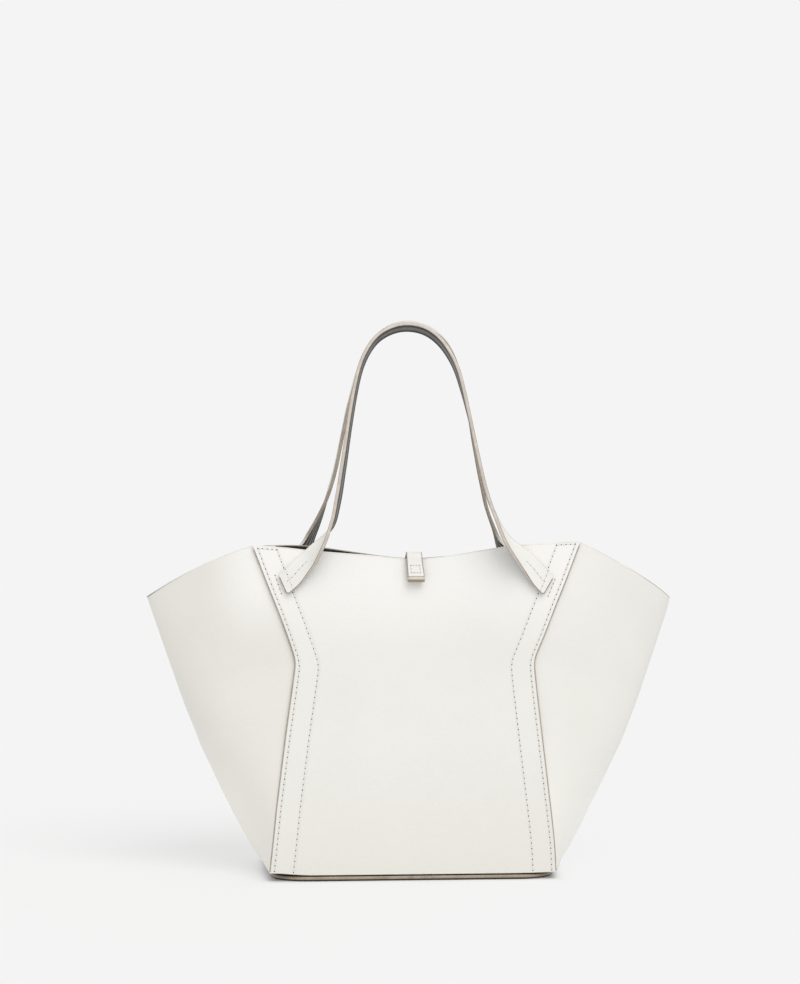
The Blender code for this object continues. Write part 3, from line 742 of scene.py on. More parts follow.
def leather(
    name,
    base,
    dark,
    warm=None,
    bright=None,
    foot=(0.0, 0.16, 1.6),
    flank=False,
    seams=False,
    roughness=0.50,
    fine=900.0,
    depth=0.00010,
    centre=None,
    lines=None,
    shine=0.38,
):
    found, tree, shader = new_material(name)
    where = object_space(tree)
    broad = ranged(tree, noise(tree, where, 11.0, 4.0, 0.55), 0.32, 0.70, 0.0, 1.0)
    fleck = ranged(tree, noise(tree, where, 420.0, 2.0, 0.6), 0.45, 0.75, 0.0, 0.35)
    colour = mix(tree, broad, base, dark)
    colour = mix(tree, fleck, colour, dark)
    # Painted light and shade: towards the foot the colour turns to the warm tone, darker on the panels and lighter on
    # the gussets' flanks.
    if warm is not None:
        split = tree.nodes.new("ShaderNodeSeparateXYZ")
        tree.links.new(where, split.inputs[0])
        low = ranged(tree, split.outputs["Z"], foot[0], foot[1], 1.0, 0.0)
        low = maths(tree, "POWER", low, foot[2])
        if flank:
            low = maths(tree, "MULTIPLY", low, attribute(tree, "flank"))
        colour = mix(tree, low, colour, warm)
        # Painted light: lighter high up, within about 0.15 to 0.2 m of the middle.
        if bright is not None:
            high = ranged(tree, split.outputs["Z"], 0.205, 0.285, 0.0, 1.0, soft=True)
            out = ranged(tree, maths(tree, "ABSOLUTE", split.outputs["X"]), 0.145, 0.200, 1.0, 0.0, soft=True)
            colour = mix(tree, maths(tree, "MULTIPLY", high, out), colour, bright)
    # Painted sheen: a lighter band along the middle of the strap's underside.
    if centre is not None:
        inner, low_at, high_at = centre
        wear_and_painted_light = ranged(tree, attribute(tree, "across"), low_at, high_at, 1.0, 0.0, soft=True)
        wear_and_painted_light = maths(tree, "MULTIPLY", wear_and_painted_light, ranged(tree, noise(tree, where, 55.0, 3.0), 0.3, 0.7, 0.75, 1.0))
        colour = mix(tree, wear_and_painted_light, colour, inner)
    # Painted sheen: lighter lines along the middle of the strap's underside and on either side, halfway to the borders.
    if lines is not None:
        inner, width = lines
        across = attribute(tree, "across")
        wear_and_painted_light = maths(tree, "ADD", groove(tree, across, 0.0, width), groove(tree, across, 0.56, width))
        wear_and_painted_light = maths(tree, "MULTIPLY", wear_and_painted_light, ranged(tree, noise(tree, where, 55.0, 3.0), 0.3, 0.7, 0.55, 1.0))
        colour = mix(tree, wear_and_painted_light, colour, inner)
    height = grain(tree, where, fine)
    normal = bump(tree, noise(tree, where, 26.0, 2.0, 0.45), 0.0011, 0.55)
    normal = bump(tree, noise(tree, where, 130.0, 3.0, 0.55), 0.00030, 0.6, normal)
    if seams:
        d = attribute(tree, "edge_distance")
        rows = maths(tree, "ADD", groove(tree, d, OUTER_ROW, 0.0011), groove(tree, d, INNER_ROW, 0.0011))
        rows = maths(tree, "ADD", rows, groove(tree, d, 0.0, 0.0016))
        normal = bump(tree, maths(tree, "MULTIPLY", rows, -1.0), 0.00026, 1.0, normal)
        # Painted shade: the colour darkens in the stitch grooves and along the edge.
        shade = maths(tree, "MULTIPLY", rows, 0.20)
        colour = mix(tree, shade, colour, tuple(c * 0.80 for c in dark))
    normal = bump(tree, height, depth, 0.8, normal)
    rough = ranged(tree, noise(tree, where, 60.0, 3.0), 0.3, 0.7, roughness - 0.05, roughness + 0.07)
    tree.links.new(colour, shader.inputs["Base Color"])
    tree.links.new(rough, shader.inputs["Roughness"])
    tree.links.new(normal, shader.inputs["Normal"])
    shader.inputs["Specular IOR Level"].default_value = shine
    found.diffuse_color = (*base, 1.0)
    return found


def edge_paint(name, base, deep, light, pale=None, rim=None, gloss=(0.30, 0.46)):
    found, tree, shader = new_material(name)
    where = object_space(tree)
    patchy = ranged(tree, noise(tree, where, 95.0, 4.0, 0.6), 0.34, 0.68, 0.0, 1.0)
    wear_and_painted_light = ranged(tree, noise(tree, where, 300.0, 2.0, 0.5), 0.55, 0.78, 0.0, 0.6)
    colour = mix(tree, wear_and_painted_light, mix(tree, patchy, base, deep), light)
    # Painted shade: the colour darkens where the rim attribute is high, at the borders of an edge and where it meets
    # the floor or a gap.
    if rim is not None:
        at_rim = ranged(tree, attribute(tree, "rim"), 0.60, 0.98, 0.0, 1.0, soft=True)
        colour = mix(tree, at_rim, colour, rim)
    # Painted highlight: the colour turns pale where the pale attribute is positive; where it is negative it turns
    # darker.
    if pale is not None:
        darkened_part = ranged(tree, attribute(tree, "pale"), -1.0, 0.0, 1.0, 0.0)
        colour = mix(tree, darkened_part, colour, (0.150, 0.124, 0.098))
        painted_highlight = ranged(tree, attribute(tree, "pale"), 0.0, 1.0, 0.0, 1.0)
        painted_highlight = maths(tree, "MULTIPLY", painted_highlight, ranged(tree, noise(tree, where, 70.0), 0.3, 0.6, 0.8, 1.0))
        colour = mix(tree, painted_highlight, colour, pale)
    normal = bump(tree, noise(tree, where, 240.0, 3.0, 0.55), 0.00022, 0.8)
    tree.links.new(colour, shader.inputs["Base Color"])
    tree.links.new(
        ranged(tree, noise(tree, where, 150.0), 0.3, 0.7, *gloss), shader.inputs["Roughness"]
    )
    tree.links.new(normal, shader.inputs["Normal"])
    shader.inputs["Specular IOR Level"].default_value = 0.5
    found.diffuse_color = (*base, 1.0)
    return found


def thread_material(name, base, dark):
    found, tree, shader = new_material(name)
    where = object_space(tree)
    strands = tree.nodes.new("ShaderNodeTexWave")
    strands.wave_type = "BANDS"
    strands.bands_direction = "DIAGONAL"
    strands.inputs["Scale"].default_value = 900.0
    strands.inputs["Distortion"].default_value = 2.0
    tree.links.new(where, strands.inputs["Vector"])
    colour = mix(tree, ranged(tree, strands.outputs["Fac"], 0.0, 1.0, 0.0, 0.6), base, dark)
    tree.links.new(colour, shader.inputs["Base Color"])
    tree.links.new(bump(tree, strands.outputs["Fac"], 0.00008), shader.inputs["Normal"])
    tree.links.new(ranged(tree, noise(tree, where, 500.0), 0.3, 0.7, 0.5, 0.7), shader.inputs["Roughness"])
    found.diffuse_color = (*base, 1.0)
    return found


def hole_material(name, base, dark):
    found, tree, shader = new_material(name)
    where = object_space(tree)
    tree.links.new(
        mix(tree, ranged(tree, noise(tree, where, 160.0), 0.35, 0.65, 0.0, 1.0), base, dark),
        shader.inputs["Base Color"],
    )
    shader.inputs["Roughness"].default_value = 0.9
    shader.inputs["Specular IOR Level"].default_value = 0.1
    found.diffuse_color = (*base, 1.0)
    return found


def board_material(name):
    found, tree, shader = new_material(name)
    where = object_space(tree)
    fibres = noise(tree, where, 480.0, 5.0, 0.7, 0.6)
    colour = mix(tree, ranged(tree, fibres, 0.3, 0.7, 0.0, 1.0), (0.32, 0.25, 0.17), (0.20, 0.155, 0.10))
    tree.links.new(colour, shader.inputs["Base Color"])
    tree.links.new(bump(tree, fibres, 0.0002), shader.inputs["Normal"])
    shader.inputs["Roughness"].default_value = 0.85
    return found


def steel_material(name):
    found, tree, shader = new_material(name)
    where = object_space(tree)
    scratch = noise(tree, where, 700.0, 4.0, 0.6, 1.0)
    colour = mix(tree, ranged(tree, scratch, 0.3, 0.7, 0.0, 1.0), (0.62, 0.62, 0.61), (0.46, 0.46, 0.45))
    tree.links.new(colour, shader.inputs["Base Color"])
    tree.links.new(ranged(tree, scratch, 0.3, 0.7, 0.24, 0.42), shader.inputs["Roughness"])
    shader.inputs["Metallic"].default_value = 1.0
    return found


# Panel leather: painted shade makes it darker and warmer towards the foot, painted light makes it lighter near the top.
IVORY = leather(
    "ivory_leather",
    (0.800, 0.792, 0.757),
    (0.775, 0.765, 0.725),
    warm=(0.752, 0.730, 0.675),
    bright=(0.865, 0.858, 0.828),
    seams=True,
)
# Lit copies of the ivory leather for the two gussets: painted light makes them lighter towards the foot on the flanks,
# and near the top by the seam, the left one much more so there.
IVORY_WING = {
    -1: leather(
        "ivory_left_gusset_leather",
        (0.802, 0.788, 0.736),
        (0.772, 0.755, 0.698),
        warm=(0.906, 0.886, 0.830),
        bright=(0.895, 0.888, 0.856),
        foot=(0.070, 0.142, 1.0),
        flank=True,
    ),
    1: leather(
        "ivory_right_gusset_leather",
        (0.800, 0.790, 0.750),
        (0.770, 0.758, 0.712),
        warm=(0.900, 0.880, 0.826),
        bright=(0.828, 0.820, 0.790),
        foot=(0.070, 0.142, 1.0),
        flank=True,
    ),
}
IVORY_STRAP = leather(
    "ivory_strap_leather", (0.815, 0.805, 0.770), (0.785, 0.772, 0.730), fine=1100.0, depth=0.00008
)
CHARCOAL = leather(
    "charcoal_leather", (0.034, 0.033, 0.0305), (0.022, 0.0215, 0.0195), roughness=0.58, depth=0.00014, shine=0.30
)
# Front handle underside: its lighter middle band is a painted sheen.
CHARCOAL_STRAP = leather(
    "charcoal_strap_leather",
    (0.020, 0.0195, 0.0175),
    (0.014, 0.0135, 0.012),
    roughness=0.50,
    fine=1100.0,
    centre=((0.215, 0.212, 0.200), 0.10, 0.72),
    shine=0.22,
)
# Back handle underside: its lighter lines are painted sheen.
CHARCOAL_STRAP_BACK = leather(
    "charcoal_back_strap_leather",
    (0.026, 0.025, 0.022),
    (0.018, 0.0175, 0.0155),
    roughness=0.56,
    fine=1100.0,
    lines=((0.300, 0.290, 0.264), 0.100),
    shine=0.16,
)
# Edge paint of the walls; its pale colour is a painted highlight.
PAINT = edge_paint(
    "painted_edge",
    (0.405, 0.345, 0.285),
    (0.310, 0.262, 0.212),
    (0.540, 0.475, 0.405),
    pale=(0.830, 0.815, 0.780),
)
# The handles' edge paint: lighter on the front handle, a painted highlight, and darker on the back handle, painted
# shade; both darken at the bead's borders, painted shade.
PAINT_STRAP = edge_paint(
    "painted_strap_edge",
    (0.620, 0.560, 0.500),
    (0.500, 0.440, 0.380),
    (0.720, 0.670, 0.610),
    pale=(0.780, 0.755, 0.700),
    rim=(0.235, 0.185, 0.145),
    gloss=(0.24, 0.36),
)
PAINT_STRAP_BACK = edge_paint(
    "painted_back_strap_edge",
    (0.460, 0.400, 0.330),
    (0.370, 0.310, 0.250),
    (0.560, 0.500, 0.430),
    pale=(0.780, 0.755, 0.700),
    rim=(0.250, 0.200, 0.155),
    gloss=(0.26, 0.40),
)
PAINT_TAB = edge_paint(
    "painted_tab_end",
    (0.600, 0.550, 0.470),
    (0.500, 0.440, 0.360),
    (0.680, 0.630, 0.550),
    rim=(0.300, 0.245, 0.170),
    gloss=(0.28, 0.42),
)
PAINT_SOLE = edge_paint(
    "painted_sole_edge",
    (0.370, 0.305, 0.230),
    (0.270, 0.215, 0.155),
    (0.480, 0.400, 0.310),
    rim=(0.020, 0.016, 0.010),
)
THREAD = thread_material("ivory_thread", (0.84, 0.83, 0.79), (0.68, 0.66, 0.61))
DARK_THREAD = thread_material("charcoal_thread", (0.075, 0.072, 0.066), (0.040, 0.038, 0.034))
# Needle holes: small dark plugs set in the surface, painted shade for the inside of each hole.
HOLE = hole_material("needle_hole", (0.170, 0.160, 0.148), (0.060, 0.056, 0.052))
HOLE_SOFT = hole_material("needle_hole_in_strap", (0.400, 0.385, 0.355), (0.230, 0.220, 0.200))
HOLE_PALE = hole_material("needle_hole_in_tab", (0.560, 0.545, 0.480), (0.400, 0.385, 0.330))
HOLE_DARK = hole_material("needle_hole_in_lining", (0.010, 0.010, 0.009), (0.006, 0.006, 0.005))
BOARD = board_material("fibre_board")
STEEL = steel_material("magnet_steel")


# Panels.
def panel_normals(side, x, z):
    step = 1e-4
    dx = (panel_depth(x + step, z) - panel_depth(x - step, z)) / (2 * step)
    dz = (panel_depth(x, z + step) - panel_depth(x, z - step)) / (2 * step)
    return unit(np.stack([-dx, np.full_like(dx, side, dtype=float), -dz], -1) * np.array([side * side, 1, 1]))


def make_panel(side, word):
    rows, columns = 131, 121
    s, t = np.meshgrid(np.linspace(-1, 1, columns), np.linspace(0, 1, rows))
    layers = [
        panel_points(side, s, t, EDGE_PROUD, d) for d in (0.0, OUTER_PLY, OUTER_PLY + 0.00008, WALL)
    ]
    outer = shell(word + "_panel_face", layers[0], layers[1], IVORY, flip=side > 0)
    lining = shell(word + "_panel_inside", layers[2], layers[3], CHARCOAL, flip=side > 0)
    x, z = layers[0][..., 0], layers[0][..., 2]
    distance = (seam_half(np.sign(s), PANEL_BOTTOM + t * (PANEL_TOP - PANEL_BOTTOM)) - np.abs(x)) * 0.96
    store(outer, "edge_distance", np.concatenate([distance.ravel(), distance.ravel()]))
    n = 161
    across, up = np.linspace(-1, 1, n), np.linspace(0, 1, 2 * n - 1)
    loop = [(a, 0.0) for a in across[:-1]] + [(1.0, b) for b in up[:-1]]
    loop += [(a, 1.0) for a in across[:0:-1]] + [(-1.0, b) for b in up[:0:-1]]
    ls, lt = (np.array(v) for v in zip(*loop))
    border = panel_points(side, ls, lt, EDGE_PROUD, 0.5 * WALL)
    normals = np.tile(np.array([0.0, side, 0.03]), (len(border), 1))
    # Painted highlight: the lower edges and the front's top edge are drawn pale.
    pale = 0.85 * smooth((0.004 - lt) / 0.004) + (smooth((lt - 0.985) / 0.015) if side < 0 else 0.0)
    bead = edge_bead(
        word + "_panel_painted_edge",
        border,
        unit(normals),
        0.5 * WALL + 0.00018,
        EDGE_PROUD,
        EDGE_LAP,
        PAINT,
        pale,
    )
    for obj, slot in ((outer, "ivory_leather"), (lining, "charcoal_leather"), (bead, "edge_leather")):
        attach(obj, "bag")
    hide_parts(word + "_panel_outer")
    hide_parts(word + "_panel_lining")


def make_gusset(hand, word):
    rows = 101
    half_v = np.concatenate([np.linspace(-1, -1 + FLANGE_SHARE, 9)[:-1], np.linspace(-1 + FLANGE_SHARE, 0, 61)])
    v_line = np.concatenate([half_v, -half_v[-2::-1]])
    v, t = np.meshgrid(v_line, np.linspace(0, 1, rows))
    face = gusset_points(hand, v, t, EDGE_PROUD)
    tangent = np.gradient(face, axis=1)
    level = unit(np.stack([tangent[..., 0], tangent[..., 1], np.zeros_like(v)], -1))
    inward = np.stack([-level[..., 1], level[..., 0], np.zeros_like(v)], -1)

    def layer(depth):
        p = face + inward * depth
        return p * np.array([hand, 1.0, 1.0])

    outer = shell(word + "_gusset_face", layer(0.0), layer(OUTER_PLY), IVORY_WING[hand], flip=hand < 0)
    lining = shell(
        word + "_gusset_inside", layer(OUTER_PLY + 0.00008), layer(WALL), CHARCOAL, flip=hand < 0
    )
    towards = smooth((1 - np.abs(v) - FLANGE_SHARE) / (1 - FLANGE_SHARE))
    # Weight of the painted light on the gussets' flanks, weaker by the seam.
    store(outer, "flank", np.tile((0.40 + 0.48 * towards).ravel(), 2))
    middle = layer(0.5 * WALL)
    outward = -inward * np.array([hand, 1.0, 1.0])
    last = rows - 1
    loop = [(0, c) for c in range(len(v_line) - 1)]
    loop += [(r, len(v_line) - 1) for r in range(last)]
    loop += [(last, c) for c in range(len(v_line) - 1, 0, -1)]
    loop += [(r, 0) for r in range(last, 0, -1)]
    border = np.array([middle[i] for i in loop])
    normals = np.array([outward[i] for i in loop])
    # Painted highlight: the top edge is drawn pale, less so towards the fold; the left one turns darker near the fold.
    from_fold = np.abs(v_line)
    fade = smooth((from_fold - 0.12) / 0.45) - smooth((0.24 - from_fold) / 0.24)
    if hand > 0:
        fade = 0.35 + 0.65 * smooth((from_fold - 0.30) / 0.30)
    pale = np.array([float(i[0] == last) * float(fade[i[1]]) for i in loop])
    bead = edge_bead(
        word + "_gusset_painted_edge",
        border,
        normals,
        0.5 * WALL + 0.00018,
        EDGE_PROUD,
        EDGE_LAP,
        PAINT,
        pale,
    )
    for obj, slot in ((outer, "ivory_leather"), (lining, "charcoal_leather"), (bead, "edge_leather")):
        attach(obj, "bag")
    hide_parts(word + "_gusset_outer")
    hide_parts(word + "_gusset_lining")


# Handles.
def rounded_path(controls, spacing, reach):
    """An even, smooth run of points through control points."""
    p = np.array(controls, float)
    p = np.concatenate([[2 * p[0] - p[1]], p, [2 * p[-1] - p[-2]]])
    fine = []
    for k in range(1, len(p) - 2):
        for u in np.linspace(0, 1, 16, endpoint=False):
            a, b, c, d = p[k - 1], p[k], p[k + 1], p[k + 2]
            fine.append(
                0.5 * (2 * b + (c - a) * u + (2 * a - 5 * b + 4 * c - d) * u**2 + (3 * b - a - 3 * c + d) * u**3)
            )
    fine.append(p[-2])
    fine = np.array(fine)
    for _ in range(2):
        run = np.concatenate([[0], np.cumsum(np.linalg.norm(np.diff(fine, axis=0), axis=1))])
        marks = np.linspace(0, run[-1], int(run[-1] / spacing))
        fine = np.stack([np.interp(marks, run, fine[:, k]) for k in range(3)], -1)
        n = int(3 * reach / spacing)
        kernel = np.exp(-0.5 * (np.arange(-n, n + 1) * spacing / reach) ** 2)
        kernel /= kernel.sum()
        padded = np.concatenate([2 * fine[0] - fine[n:0:-1], fine, 2 * fine[-1] - fine[-2 : -n - 2 : -1]])
        fine = np.stack([np.convolve(padded[:, k], kernel, "valid") for k in range(3)], -1)
    return fine


def strap_surface(controls, left_turn, right_turn):
    """Middle surface of a strap: (points, outward normals, headings), each stations x across."""
    centre = rounded_path(controls, 0.0013, 0.0032)
    run = np.concatenate([[0], np.cumsum(np.linalg.norm(np.diff(centre, axis=0), axis=1))])
    total = run[-1]
    heading = unit(np.gradient(centre, axis=0))
    z = centre[:, 2]
    lean = PANEL_LEAN + (HANDLE_LEAN - PANEL_LEAN) * smooth((z - 0.300) / 0.060)
    forward = np.stack([np.zeros_like(z), -np.cos(lean), np.sin(lean)], -1)
    forward = unit(forward - heading * (forward * heading).sum(-1, keepdims=True))
    across = unit(np.cross(heading, forward))
    high = np.nonzero(z > 0.43)[0]
    share = smooth((run - run[high[0]]) / (run[high[-1]] - run[high[0]]))
    turns = []
    for column in (1, 2):
        left = np.interp(z, [r[0] for r in left_turn], [r[column] for r in left_turn])
        right = np.interp(z, [r[0] for r in right_turn], [r[column] for r in right_turn])
        raw = np.radians(left * (1 - share) + right * share)
        kernel = np.exp(-0.5 * (np.arange(-9, 10) / 3.0) ** 2)
        raw = np.convolve(np.pad(raw, 9, mode="edge"), kernel / kernel.sum(), "valid")
        turns.append(raw)
    a = np.linspace(-1, 1, 17)
    half = STRAP_HALF - STRAP_PROUD
    to_end = np.minimum(run, total - run)
    inside = np.clip(END_CORNER - to_end, 0, END_CORNER)
    widths = half - END_CORNER + np.sqrt(np.maximum(END_CORNER**2 - inside**2, 0))
    angle = turns[0][:, None] + (turns[1] - turns[0])[:, None] * smooth((a + 1) / 2)[None, :]
    width = np.cos(angle)[..., None] * across[:, None] + np.sin(angle)[..., None] * forward[:, None]
    out = unit(np.cross(width, heading[:, None]))
    step = 0.5 * (width[:, 1:] + width[:, :-1]) * (a[1] - a[0]) * widths[:, None, None]
    bent = np.concatenate([np.zeros((len(z), 1, 3)), np.cumsum(step, axis=1)], axis=1)
    bent -= bent[:, 8:9]
    points = centre[:, None] + bent
    at_end = 1 - smooth(to_end / 0.016)
    way = np.where(run < 0.5 * total, -1.0, 1.0)
    shear = (way * at_end)[:, None] * a[None, :] * END_SHEAR
    points = points + shear[..., None] * heading[:, None]
    return points, out, heading, run


def make_handle(side, word, controls, left_turn, right_turn):
    points, out, heading, run = strap_surface(controls, left_turn, right_turn)
    mirror = np.array([1.0, -side, 1.0])
    points, out, heading = points * mirror, out * mirror, heading * mirror
    flip = side < 0
    outer = shell(word + "_handle_face", points + out * STRAP_PLY, points + out * 0.00004, IVORY_STRAP, flip)
    under = CHARCOAL_STRAP if side < 0 else CHARCOAL_STRAP_BACK
    inner = shell(word + "_handle_underside", points - out * 0.00004, points - out * STRAP_PLY, under, flip)
    across = np.tile(np.abs(np.linspace(-1, 1, points.shape[1])), len(points))
    store(inner, "across", np.concatenate([across, across]))
    n, m = points.shape[:2]
    loop = [(k, 0) for k in range(n)] + [(n - 1, c) for c in range(1, m)]
    loop += [(k, m - 1) for k in range(n - 2, -1, -1)] + [(0, c) for c in range(m - 2, 0, -1)]
    border = np.array([points[i] for i in loop])
    normals = np.array([out[i] for i in loop])
    # Painted highlight: the upper border of each stitched end, facing the light, is drawn pale.
    upper = m - 1 if points[0, m - 1, 2] > points[0, 0, 2] else 0
    pale = np.array([float(c == upper) * float(smooth((0.322 - points[k, c, 2]) / 0.02)) for k, c in loop])
    bead = edge_bead(
        word + "_handle_painted_edge",
        border,
        normals,
        STRAP_PLY + 0.00012,
        STRAP_PROUD,
        STRAP_LAP,
        PAINT_STRAP if side < 0 else PAINT_STRAP_BACK,
        pale,
    )
    stitches = Stitches()
    face = points + out * STRAP_PLY
    total = run[-1]
    rows = []
    for from_end, way in ((0.0, 1), (total, -1)):
        pick = [k for k in range(n) if 0.0045 <= abs(run[k] - from_end) <= 0.0300]
        rows.append(([face[k, 8] for k in pick], [out[k, 8] for k in pick]))
    for path, normal in rows:
        stitches.row(path, normal)
    # The seam's inner row runs on over each stitched end.
    for hand in (-1, 1):
        path, normal = [], []
        flat = face.reshape(-1, 3)
        flat_out = out.reshape(-1, 3)
        inside = (hand * flat[:, 0] > 0) & (flat[:, 2] < 0.300) & (np.abs(flat_out[:, 1]) > 0.80)
        flat, flat_out = flat[inside], flat_out[inside]
        for z in np.linspace(0.2600, 0.3000, 81):
            x = hand * (float(seam_half(hand, z)) - INNER_ROW)
            gap = np.hypot(flat[:, 0] - x, flat[:, 2] - z)
            k = int(gap.argmin())
            if gap[k] < 0.0011:
                path.append((x, flat[k, 1], z))
                normal.append(flat_out[k])
        if len(path) > 8:
            stitches.row(path[1:-1], normal[1:-1])
    thread, holes = stitches.build(word + "_handle_stitch", THREAD, HOLE_SOFT)
    for obj, slot in (
        (outer, "strap_leather"),
        (inner, "strap_lining"),
        (bead, "edge_leather"),
        (thread, "thread"),
        (holes, "edge_leather"),
    ):
        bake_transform(obj)
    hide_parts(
        word + "_handle_outer", word + "_left_handle_end", word + "_right_handle_end"
    )
    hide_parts(word + "_handle_inner")
    return face


# Seams.
def seam_rows(side, hand, strap_face):
    """Paths of the stitch rows on one flank of a panel, with the surface normals."""
    zbar = np.linspace(0.0, 1.0, 400)

    def line(inset, low, high):
        seam = seam_half(hand, PANEL_BOTTOM + zbar * (PANEL_TOP - PANEL_BOTTOM))
        x = hand * (seam - inset)
        top = top_edge(side, x)
        foot = PANEL_BOTTOM + float(foot_lift(hand * (1 - inset / HALF_AT_BOTTOM)))
        z = foot + zbar * (top - foot)
        keep = (z >= foot + low) & (z <= high(top))
        x, z = x[keep], z[keep]
        y = side * (panel_depth(x, z) + relief(side, x, z))
        return np.stack([x, y, z], -1)

    outer = line(OUTER_ROW, 0.0022, lambda top: top - TOP_ROW)
    inner = line(INNER_ROW, 0.0022, lambda top: top - TOP_ROW)
    cover = strap_face.reshape(-1, 3)
    cover = cover[(hand * cover[:, 0] > 0) & (cover[:, 2] < 0.32)]
    hidden = np.array([np.hypot(cover[:, 0] - p[0], cover[:, 2] - p[2]).min(initial=1.0) < 0.0022 for p in inner])
    covered = np.nonzero(hidden)[0]
    pieces = [outer]
    if len(covered):
        pieces.append(inner[: covered[0]])
        if len(inner) - covered[-1] > 12:
            pieces.append(inner[covered[-1] + 1 :])
    else:
        pieces.append(inner)
    xs = np.linspace(outer[-1][0], inner[-1][0], 24)
    zs = top_edge(side, xs) - TOP_ROW
    pieces.append(np.stack([xs, side * panel_depth(xs, zs), zs], -1))
    return pieces


SHORT_ROWS = {-1: ((0.1286, 0.2812), (0.1228, 0.2644)), 1: ((0.1310, 0.2766), (0.1246, 0.2612))}


def make_seam(side, hand, word, hand_word, strap_face):
    stitches = Stitches()
    for path in seam_rows(side, hand, strap_face):
        if len(path) > 2:
            stitches.row(path, panel_normals(side, path[:, 0], path[:, 2]))
    (x0, z0), (x1, z1) = SHORT_ROWS[hand]
    xs, zs = hand * np.linspace(x0, x1, 12), np.linspace(z0, z1, 12)
    ys = side * (panel_depth(xs, zs) + relief(side, xs, zs))
    path = np.stack([xs, ys, zs], -1)
    stitches.row(path, panel_normals(side, xs, zs), pitch=0.0042, length=0.0030)
    thread, holes = stitches.build(f"{word}_{hand_word}_seam", THREAD, HOLE)
    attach(thread, "bag")
    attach(holes, "bag")
    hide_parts(f"{word}_{hand_word}_seam_thread")
    # The same rows come through on the gusset's flange inside the bag.
    stitches = Stitches()
    for path in seam_rows(side, hand, np.zeros((1, 1, 3)))[:2]:
        path = path[path[:, 2] > 0.011]
        inside = path.copy()
        inside[:, 1] = side * (panel_depth(path[:, 0], path[:, 2]) - 2 * WALL - GAP)
        stitches.row(inside, np.tile([0.0, -side, 0.0], (len(inside), 1)))
    thread, holes = stitches.build(f"{word}_{hand_word}_inside_seam", DARK_THREAD, HOLE_DARK)
    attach(thread, "bag")
    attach(holes, "bag")


def make_backing(side, hand, word, hand_word):
    """The patch inside the wall behind a stitched handle end, with its own edge and stitches."""
    columns, rows = 25, 27
    s, t = np.meshgrid(np.linspace(-1, 1, columns), np.linspace(-1, 1, rows))
    stretch = np.sqrt(1 - 0.16 * t**4 * s**4)
    cx, cz, hx, hz = 0.1132, 0.2790, 0.0180, 0.0200
    x = hand * (cx + hx * s * stretch)
    z = cz + hz * t * stretch
    inside = panel_depth(x, z) - (2 * WALL + 2 * GAP)
    near = np.stack([x, side * inside, z], -1)
    far = np.stack([x, side * (inside - 0.0013), z], -1)
    patch = shell(f"{word}_{hand_word}_backing_patch", near, far, CHARCOAL, flip=(side * hand) > 0)
    stitches = Stitches()
    for inset in (0.84,):
        angle = np.linspace(0, 2 * math.pi, 90)
        c, q = np.cos(angle), np.sin(angle)
        power = 2 / 5.0
        sx = np.sign(c) * np.abs(c) ** power * inset
        sz = np.sign(q) * np.abs(q) ** power * inset
        px, pz = hand * (cx + hx * sx), cz + hz * sz
        py = side * (panel_depth(px, pz) - (2 * WALL + 2 * GAP) - 0.0013)
        path = np.stack([px, py, pz], -1)
        stitches.row(path, np.tile([0.0, -side, 0.0], (len(path), 1)), pitch=0.0048)
    thread, holes = stitches.build(f"{word}_{hand_word}_backing", DARK_THREAD, HOLE_DARK)
    for obj, slot in ((patch, "charcoal_leather"), (thread, "thread"), (holes, "charcoal_leather")):
        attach(obj, "bag")
    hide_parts(f"{word}_{hand_word}_handle_backing")


# Closure strap.
def closure_path():
    """(y, z) points from inside the back wall, across the mouth and down over the front edge, evenly spaced."""
    half = 0.00255
    anchor_top = CROSS_LEVEL - ANCHOR_BEND
    points = []
    for z in np.linspace(MID_TOP - ANCHOR_DROP, anchor_top, 20):
        points.append((float(panel_depth(0.0, z)) - WALL - GAP - half, z))
    y0 = points[-1][0]
    for a in np.linspace(0, 0.5 * math.pi, 9)[1:]:
        points.append((y0 - ANCHOR_BEND * (1 - math.cos(a)), anchor_top + ANCHOR_BEND * math.sin(a)))
    start = points[-1][0]
    end = -(float(panel_depth(0.0, MID_TOP)) + TAB_STAND_OFF - TAB_FOLD)
    for u in np.linspace(0, 1, 90)[1:]:
        sag = CROSS_SAG * math.sin(math.pi * min(u / CROSS_FLAT, 1.0)) ** 2
        rise = (STRAP_LEVEL - CROSS_LEVEL) * float(smooth((u - CROSS_FLAT) / (1 - CROSS_FLAT)))
        points.append((start + (end - start) * u, CROSS_LEVEL - sag + rise))
    for a in np.linspace(0, 0.5 * math.pi, 9)[1:]:
        points.append((end - TAB_FOLD * math.sin(a), STRAP_LEVEL - TAB_FOLD * (1 - math.cos(a))))
    top = points[-1][1]
    for u in np.linspace(0, 1, 14)[1:]:
        z = top + (MID_TOP - TAB_DROP - top) * u
        points.append(
            (-(float(panel_depth(0.0, min(z, MID_TOP))) + TAB_STAND_OFF + TAB_KICK * u * u), z)
        )
    path = np.array([(0.0, y, z) for y, z in points])
    run = np.concatenate([[0], np.cumsum(np.linalg.norm(np.diff(path, axis=0), axis=1))])
    marks = np.linspace(0, run[-1], int(run[-1] / 0.0010))
    path = np.stack([np.interp(marks, run, path[:, k]) for k in range(3)], -1)
    kernel = np.exp(-0.5 * (np.arange(-4, 5) / 1.3) ** 2)
    kernel /= kernel.sum()
    padded = np.concatenate([2 * path[0] - path[4:0:-1], path, 2 * path[-1] - path[-2:-6:-1]])
    return np.stack([np.convolve(padded[:, k], kernel, "valid") for k in range(3)], -1)


